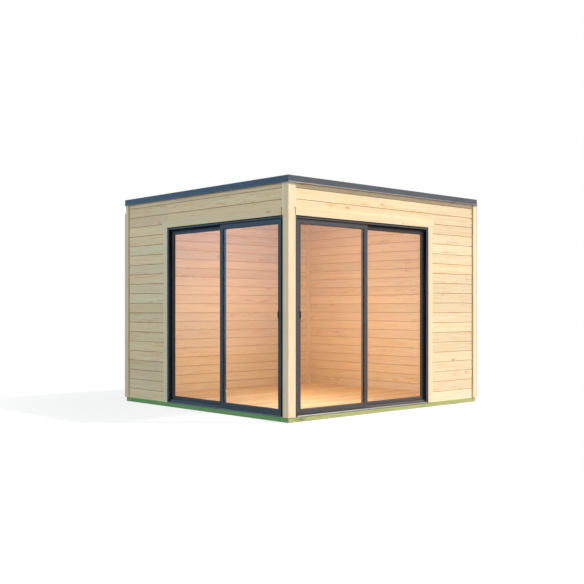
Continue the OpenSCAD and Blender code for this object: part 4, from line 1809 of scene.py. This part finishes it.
@dataclass
class FlatRoof:
    """Rafters, roof boards, kerb, rubber sheet and folded edge trims.

    Attributes:
        finishes: The cabin's finishes.
        cover: Cover of a roof board.
        count: Number of rafters.
        rafter: Width of a rafter.
        groove: Size of the bevels under the roof boards' joints.
        ledge: Width of the kerb on the roof boards.
        joint: Gap at the mitres.
        bend: Radius of the rubber sheet's bend at the kerb.
        wave: Height of the sheet's ripple.
        laps: Where the sheet's taped laps are, along x.
        tape: Width of their tape.
        kick: Reach of the trim's drip edge.
        drip: Height of that edge.
        metal: Thickness of the folded trim.
        flange: Width of the trim's top flange.
        crease: Depth of the creases pressed into the trim's face.
        row: Number of screws along each side.
    """

    finishes: Finishes
    cover: float = 0.096
    count: int = 5
    rafter: float = 0.045
    groove: float = 0.002
    ledge: float = 0.045
    joint: float = 0.0003
    bend: float = 0.006
    wave: float = 0.0007
    laps: tuple[float, ...] = (-0.5, 0.5)
    tape: float = 0.1
    kick: float = 0.006
    drip: float = 0.009
    metal: float = 0.002
    flange: float = 0.05
    crease: float = 0.0012
    row: int = 10

    def build(self) -> list[Object]:
        """Builds the roof from the rafters up and returns the pieces."""
        return [
            self.rafters(), self.deck(), self.kerb(), self.sheet(), self.seams(),
            *self.trims(), self.screws(),
        ]

    def rafters(self) -> Object:
        """Builds the rafters and returns the piece."""
        low, high = map(np.array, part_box("rafters"))
        lumber = Lumber(Seed.RAFTERS)
        starts = np.linspace(low[1], high[1] - self.rafter, self.count)
        sticks = [
            lumber.stick((low[0], y, low[2]), (high[0], y + self.rafter, high[2]), 0.003)
            for y in starts
        ]
        return add_piece(
            "roof_rafters", sticks, self.finishes.roof_wood, ["rafters"]
        )

    def deck(self) -> Object:
        """Builds the tongued roof boards, bevelled on their undersides."""
        low, high = map(np.array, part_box("roof_deck"))
        edges = np.append(np.arange(low[0], high[0], self.cover), high[0])
        lumber = Lumber(Seed.DECK)
        boards = []
        g, slit = self.groove, 0.0004
        under, root, top = low[2], low[2] + 2 * g, high[2]
        for a, b in zip(edges[:-1], edges[1:]):
            section = np.array([
                (under, a + g), (root, a + slit), (root, a), (top, a),
                (top, b), (root, b), (root, b - slit), (under, b - g),
            ])[::-1]
            boards.append(lumber.board(section, low[1], high[1], 0.0).lengthways())
        return add_piece(
            "roof_boards", boards, self.finishes.roof_wood, ["roof_deck"]
        )

    def mitred(self, outline: Array, half: float, other: float) -> Shape:
        """Runs an edge profile along the front with mitred ends.

        Point (i, j) is (-+(half + d_j), -(other + d_j), z_j), where d is the profile's
        distance out from the posts and z its height.

        Args:
            outline: The profile as d and z, counter-clockwise.
            half: Half of the side's length.
            other: Distance of the side from the middle.

        Returns:
            The closed run.
        """
        d, z = outline.T
        runs = np.stack([
            np.stack([end * (half + d - self.joint), -(other + d), z], 1) for end in (1, -1)
        ])
        return mesh_of(runs)

    def round_the_roof(self, outline: Array) -> list[Shape]:
        """Runs a profile round all four sides.

        Args:
            outline: The profile as d and z, counter-clockwise.

        Returns:
            Front, right, back and left runs.
        """
        runs = []
        for n in range(4):
            spans = (PLAN.half_x, PLAN.half_y)
            run = self.mitred(outline, *(spans if n % 2 == 0 else spans[::-1]))
            c, s = QUARTERS[n]
            turn = np.array([(c, -s, 0), (s, c, 0), (0, 0, 1)], float)
            runs.append(Shape(run.points @ turn.T, run.faces))
        return runs

    def kerb(self) -> Object:
        """Builds the kerb under the trims, mitred at the corners."""
        low, high = map(np.array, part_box("roof_kerb"))
        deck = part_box("roof_deck")[1].z
        out, inner = high[0] - PLAN.half_x, -self.ledge
        outline = np.array([
            (0, low[2]), (out, low[2]), (out, high[2]), (inner, high[2]), (inner, deck), (0, deck),
        ])
        lumber = Lumber(Seed.KERB)
        runs = []
        for n, run in enumerate(self.round_the_roof(rounded(outline, [0, 0.002, 0, 0.003, 0, 0]))):
            along = run.points if n % 2 == 0 else run.points[:, [1, 0, 2]]
            run.grain = along + (lumber.chance.uniform(0, 50), PLAN.half_y + 0.06, 0.03 - low[2])
            run.board = np.tile((*lumber.chance.random(2), 0.0), (len(run.points), 1))
            runs.append(run)
        return add_piece(
            "roof_kerb_boards", runs, self.finishes.roof_wood, ["roof_kerb"]
        )

    def sheet(self) -> Object:
        """Builds the rubber sheet, dressed up the kerb and over its top.

        Point (i, j) lies on square j of half-width a_i at height h_i, with a slow ripple
        of sines in x and y that dies away at the kerb.

        Returns:
            The piece.
        """
        high = np.array(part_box("roof_sheet")[1])
        edge, top = high[0] - 0.0005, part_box("roof_kerb")[1].z + 0.0008
        flat_rows, count, r = 24, 40, self.bend
        a = np.concatenate([
            np.linspace(0.04, edge - 0.02, flat_rows),
            edge - np.array([r, 0.4 * r, 0.0016, 0.0016, 0.0008, -0.002, -0.024]),
        ])
        h = np.concatenate([
            np.full(flat_rows + 1, high[2]), high[2] + np.array([0.15, 0.7]) * r,
            top - np.array([0.003, 0.0008, 0, 0]),
        ])
        t = np.linspace(-1, 1, count, endpoint=False)
        one = np.ones(count)
        sides = ((t, -one), (one, t), (-t, one), (-one, -t))
        square = np.concatenate([np.stack(side, 1) for side in sides])
        flat = a[:, None, None] * square[None]
        x, y = flat[..., 0], flat[..., 1]
        calm = np.clip((edge - 0.03 - a) / 0.3, 0, 1)[:, None]
        ripple = self.wave * (np.sin(4.1 * x + 1.3 * y) + np.sin(2.3 * x - 5.2 * y + 1.0)) * calm
        z = h[:, None] + ripple + 0.0004
        rows = np.concatenate([flat, z[..., None]], 2)
        index = np.arange(rows[..., 0].size).reshape(len(a), -1)
        after = np.roll(index, -1, 1)
        quads = np.stack([index[:-1], index[1:], after[1:], after[:-1]], -1).reshape(-1, 4)
        piece = add_piece(
            "roofing_sheet_laid", [Shape(rows.reshape(-1, 3), [quads, index[:1]])],
            self.finishes.sheet, ["roof_sheet"], smooth=50.0,
        )
        shell = piece.modifiers.new("thickness", "SOLIDIFY")
        shell.thickness, shell.offset = 0.0012, -1.0
        return piece

    def seams(self) -> Object:
        """Builds the taped laps of the rubber sheet and returns the piece."""
        low, high = map(np.array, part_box("roof_sheet"))
        short, half, edge = 0.008, self.tape / 2, 0.0012
        under, over = high[2] + 0.0002, high[2] + 0.0024
        bars = []
        for x in self.laps:
            tape = rounded(oblong((under, x - half), (over, x + half)), [0, edge, edge, 0])
            bars.append(carried(tape, low[1] + short, high[1] - short, 0.0008).lengthways())
        return add_piece("roof_seam_tapes", bars, self.finishes.sheet)

    def trim_outline(self) -> Array:
        """Draws the folded trim: flange, face with two creases, and drip edge.

        The sheet's outer line is moved in by its mitres times the metal's thickness for
        the inner line, and the two are joined.

        Returns:
            The outline as distance out and height.
        """
        low, high = map(np.array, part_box("roof_trims_front_back"))
        reach = high[1] - PLAN.half_y
        face, top, bottom, c = reach - self.kick, high[2], low[2], self.crease
        h, turn = top - bottom, 0.0015
        creases = [
            point for upper, lower in ((0.70, 0.66), (0.36, 0.32))
            for point in (
                (face, bottom + upper * h), (face - c, bottom + upper * h - c),
                (face - c, bottom + lower * h), (face, bottom + lower * h - c),
            )
        ]
        line = np.array([
            (face - self.flange, top), (face - turn, top), (face, top - turn), *creases,
            (face, bottom + self.drip), (reach, bottom),
        ])
        edge = np.diff(line, axis=0)
        normal = np.stack([edge[:, 1], -edge[:, 0]], 1) / np.linalg.norm(edge, axis=1)[:, None]
        before, after = np.vstack([normal[:1], normal]), np.vstack([normal, normal[-1:]])
        mitre = (before + after) / (1 + (before * after).sum(1))[:, None]
        inner = line + mitre * self.metal
        return np.vstack([line, inner[::-1]])[::-1]

    def trims(self) -> list[Object]:
        """Builds the folded edge trims.

        Returns:
            The front and back pair, then the sides' pair.
        """
        runs = self.round_the_roof(self.trim_outline())
        return [
            add_piece(
                f"edge_trims_{name}", pair, self.finishes.trim, [f"roof_trims_{name}"]
            )
            for name, pair in (("front_back", runs[::2]), ("sides", runs[1::2]))
        ]

    def screws(self) -> Object:
        """Builds the screws in the trims' top flanges and returns the piece."""
        top, end, inwards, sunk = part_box("roof_trims_front_back")[1].z, 0.15, 0.004, 0.0004
        along = np.linspace(-PLAN.half_x + end, PLAN.half_x - end, self.row)
        level = np.ones(self.row)
        row = np.stack([along, level * (-PLAN.half_y + inwards), level * (top - sunk)], 1)
        places = np.vstack([row @ np.array([(c, s, 0), (-s, c, 0), (0, 0, 1)]) for c, s in QUARTERS])
        head = turned_on_axis(np.array([
            (0.0065, 0.0), (0.0065, 0.0008), (0.0045, 0.001), (0.0045, 0.0034), (0.0035, 0.0042),
        ]), 12)
        return add_piece("trim_screws", [repeated(head, places)], self.finishes.steel)


# ---------------- studio


@dataclass(frozen=True)
class Lamp:
    """A far lamp.

    Attributes:
        name: Its name.
        strength: Its strength.
        colour: Its colour.
        way: The way to it.
        softness: Its apparent width, in degrees.
        mirrored: Whether shiny surfaces show it.
        spares: Pieces that it leaves unlit.
    """

    name: str
    strength: float
    colour: Colour
    way: tuple[float, float, float]
    softness: float
    mirrored: bool = True
    spares: tuple[str, ...] = ()

    def hang(self) -> None:
        """Adds the lamp to the scene."""
        data = bpy.data.lights.new(self.name, "SUN")
        data.energy, data.color = self.strength, self.colour
        data.angle = math.radians(self.softness)
        lamp = bpy.data.objects.new(self.name, data)
        x, y, z = self.way
        lamp.rotation_euler = (math.atan2(math.hypot(x, y), z), 0.0, math.atan2(x, -y))
        lamp.visible_glossy = self.mirrored
        bpy.context.scene.collection.objects.link(lamp)
        if self.spares:
            spared = bpy.data.collections.new(f"{self.name}_spares")
            for piece in self.spares:
                spared.objects.link(bpy.data.objects[piece])
            lamp.light_linking.receiver_collection = spared
            for entry in spared.collection_objects:
                entry.light_linking.link_state = "EXCLUDE"


@dataclass
class Studio:
    """Camera, lamps, world and floor.

    Attributes:
        eye: Where the camera stands.
        heading: Its turn about z from +Y, in degrees.
        lens: Focal length, in millimetres.
        shift: The lens's shift.
        lamps: The key lamp and the wide level fills, which leave out the walls that they
            would reach through the glass.
        sky: Strength of the world.
        sky_colour: Its colour.
        cool: What shiny surfaces see on the shaded side, low down and high up.
        warm: What they see on the key lamp's side, low down and high up.
        room: Power in watts, place and colour of each soft lamp inside the cabin.
        ground: Half of the floor's side, and how far it lies under the cabin.
        pale: Tone of the floor for the lamps' light, and for the camera.
    """

    eye: tuple[float, float, float] = (-7.411, -8.292, 1.1356)
    heading: float = -44.26
    lens: float = 56.36
    shift: tuple[float, float] = (-0.0822, 0.0268)
    lamps: tuple[Lamp, ...] = (
        Lamp(
            "key", 4.6, (1.0, 0.92, 0.84), (0.457, -0.457, 0.763), 2.0,
            spares=("floor_boards_laid",),
        ),
        Lamp(
            "left_fill", 1.10, (0.82, 0.94, 1.0), (-1.0, 0.25, 0.2), 22.0, False,
            wall_pieces("right_wall"),
        ),
        Lamp(
            "front_fill", 0.93, (0.82, 0.90, 1.0), (0.25, -1.0, 0.2), 22.0, False,
            wall_pieces("back_wall"),
        ),
    )
    sky: float = 0.56
    sky_colour: Colour = (0.80, 0.95, 1.0)
    cool: tuple[Colour, Colour] = ((0.12, 0.22, 0.26), (0.45, 0.98, 1.65))
    warm: tuple[Colour, Colour] = ((1.50, 0.75, 0.40), (1.25, 1.15, 1.25))
    room: tuple[tuple[float, tuple[float, float, float], Colour], ...] = (
        (28.0, (-0.05, 0.1, 1.1), (1.0, 0.70, 0.34)),
        (13.0, (0.0, 0.15, 2.05), (0.76, 0.66, 1.0)),
        (9.0, (-0.6, -0.6, 0.5), (1.0, 0.88, 0.85)),
    )
    ground: tuple[float, float] = (60.0, 0.0006)
    pale: tuple[float, float] = (0.14, 0.8)

    def build(self) -> None:
        """Sets up the whole studio."""
        self.camera()
        for lamp in self.lamps:
            lamp.hang()
        self.room_lamps()
        self.world()
        self.floor()
        bpy.context.scene.view_settings.view_transform = "Standard"

    def camera(self) -> None:
        """Places the level camera."""
        data = bpy.data.cameras.new("camera")
        data.lens, data.sensor_width = self.lens, 36.0
        data.shift_x, data.shift_y = self.shift
        data.dof.use_dof = False
        camera = bpy.data.objects.new("camera", data)
        camera.location = self.eye
        camera.rotation_euler = (math.radians(90), 0.0, math.radians(self.heading))
        bpy.context.scene.collection.objects.link(camera)
        bpy.context.scene.camera = camera

    def room_lamps(self) -> None:
        """Adds soft lamps in the room, unseen themselves."""
        for power, place, colour in self.room:
            data = bpy.data.lights.new("room", "POINT")
            data.energy, data.color = power, colour
            data.shadow_soft_size = 0.3
            lamp = bpy.data.objects.new("room", data)
            lamp.location = place
            lamp.visible_camera = lamp.visible_glossy = lamp.visible_transmission = False
            bpy.context.scene.collection.objects.link(lamp)

    def shown(self, g: Graph, way: Socket, height: Socket) -> tuple[Socket, Socket]:
        """Works out what the eye and shiny surfaces see beyond the cabin.

        The eye sees white, and shiny surfaces see a tone that goes from cool to warm
        with the way's part along the key lamp's level way, and from low to high.

        Args:
            g: The graph to add to.
            way: The way out from the cabin, one long.
            height: Goes from 0, low down, to 1, high up.

        Returns:
            The colour, and whether the ray comes from the eye or a shiny surface.
        """
        x, y, _ = self.lamps[0].way
        reach = math.hypot(x, y)
        along = g.vectors("DOT_PRODUCT", way, (x / reach, y / reach, 0.0))
        side = g.ramp(along, -0.6, 0.9)
        low, high = (g.mix(side, cool, warm) for cool, warm in zip(self.cool, self.warm))
        tone = g.mix(height, low, high)
        path = g.node("LightPath").outputs
        tone = g.mix(path["Is Glossy Ray"], (1.0, 1.0, 1.0), tone)
        seen = g.maths("MAXIMUM", path["Is Camera Ray"], path["Is Transmission Ray"])
        return tone, g.maths("MAXIMUM", seen, path["Is Glossy Ray"])

    def world(self) -> None:
        """Lights the scene from all round.

        Shiny surfaces see the low tone under the horizon, the high one just over it and
        a mix overhead.
        """
        world = bpy.data.worlds.new("studio")
        world.use_nodes = True
        bpy.context.scene.world = world
        g = Graph.of(world.node_tree)
        way = g.node("TexCoord").outputs["Generated"]
        up = g.parts(way)[2]
        rising = g.line(up, 5.0, 0.5)
        height = g.maths("MINIMUM", rising, g.maths("SUBTRACT", 1.4, up))
        tone, seen = self.shown(g, way, height)
        lamp = g.node("Background", {"Color": self.sky_colour, "Strength": self.sky})
        shown = g.node("Background", {"Color": tone, "Strength": 1.0})
        mixed = g.node("MixShader", {0: seen, 1: lamp.outputs[0], 2: shown.outputs[0]})
        output = g.node("OutputWorld")
        g.tree.links.new(mixed.outputs[0], output.inputs["Surface"])

    def floor(self) -> None:
        """Lays a plain pale floor that keeps the cabin's soft shadow.

        Far from the cabin it shows the same tones as the world does.
        """
        half, drop = self.ground
        mesh = bpy.data.meshes.new("studio_floor")
        square = oblong((-half, -half), (half, half))
        mesh.from_pydata(np.insert(square, 2, -drop, axis=1).tolist(), [], [(0, 1, 2, 3)])
        g = Graph("studio_floor")
        path = g.node("LightPath").outputs
        far = g.vectors("LENGTH", g.place())
        way = g.vectors("NORMALIZE", g.place())
        tone, seen = self.shown(g, way, g.maths("SUBTRACT", 0.5, g.maths("DIVIDE", 6.0, far)))
        pale = g.mix(path["Is Camera Ray"], *((tone,) * 3 for tone in self.pale))
        diffuse = g.node("BsdfDiffuse", {"Color": pale})
        white = g.node("Emission", {"Color": tone, "Strength": 1.0})
        share = g.maths("MAXIMUM", g.ramp(far, 2.2, 5.0, (0.82, 1.0)), path["Is Glossy Ray"])
        share = g.maths("MULTIPLY", share, seen)
        mixed = g.node("MixShader", {0: share, 1: diffuse.outputs[0], 2: white.outputs[0]})
        mesh.materials.append(g.finished(mixed))
        floor = bpy.data.objects.new("studio_floor", mesh)
        bpy.context.scene.collection.objects.link(floor)


def main() -> None:
    """Builds the cabin and its studio, and reports each piece."""
    logging.basicConfig(level=logging.INFO, format="%(name)s: %(message)s")
    finishes = Finishes()
    assemblies = [
        Groundwork(finishes), LogWalls(finishes), Corners(finishes), Casings(finishes),
        SlidingDoor(Facade.FRONT, finishes), SlidingDoor(Facade.LEFT, finishes), FlatRoof(finishes),
    ]
    for assembly in assemblies:
        title = type(assembly).__name__
        for piece in assembly.build():
            log.info("%s: %s, %d faces", title, piece.name, len(piece.data.polygons))
    Studio().build()


if __name__ == "__main__":
    main()
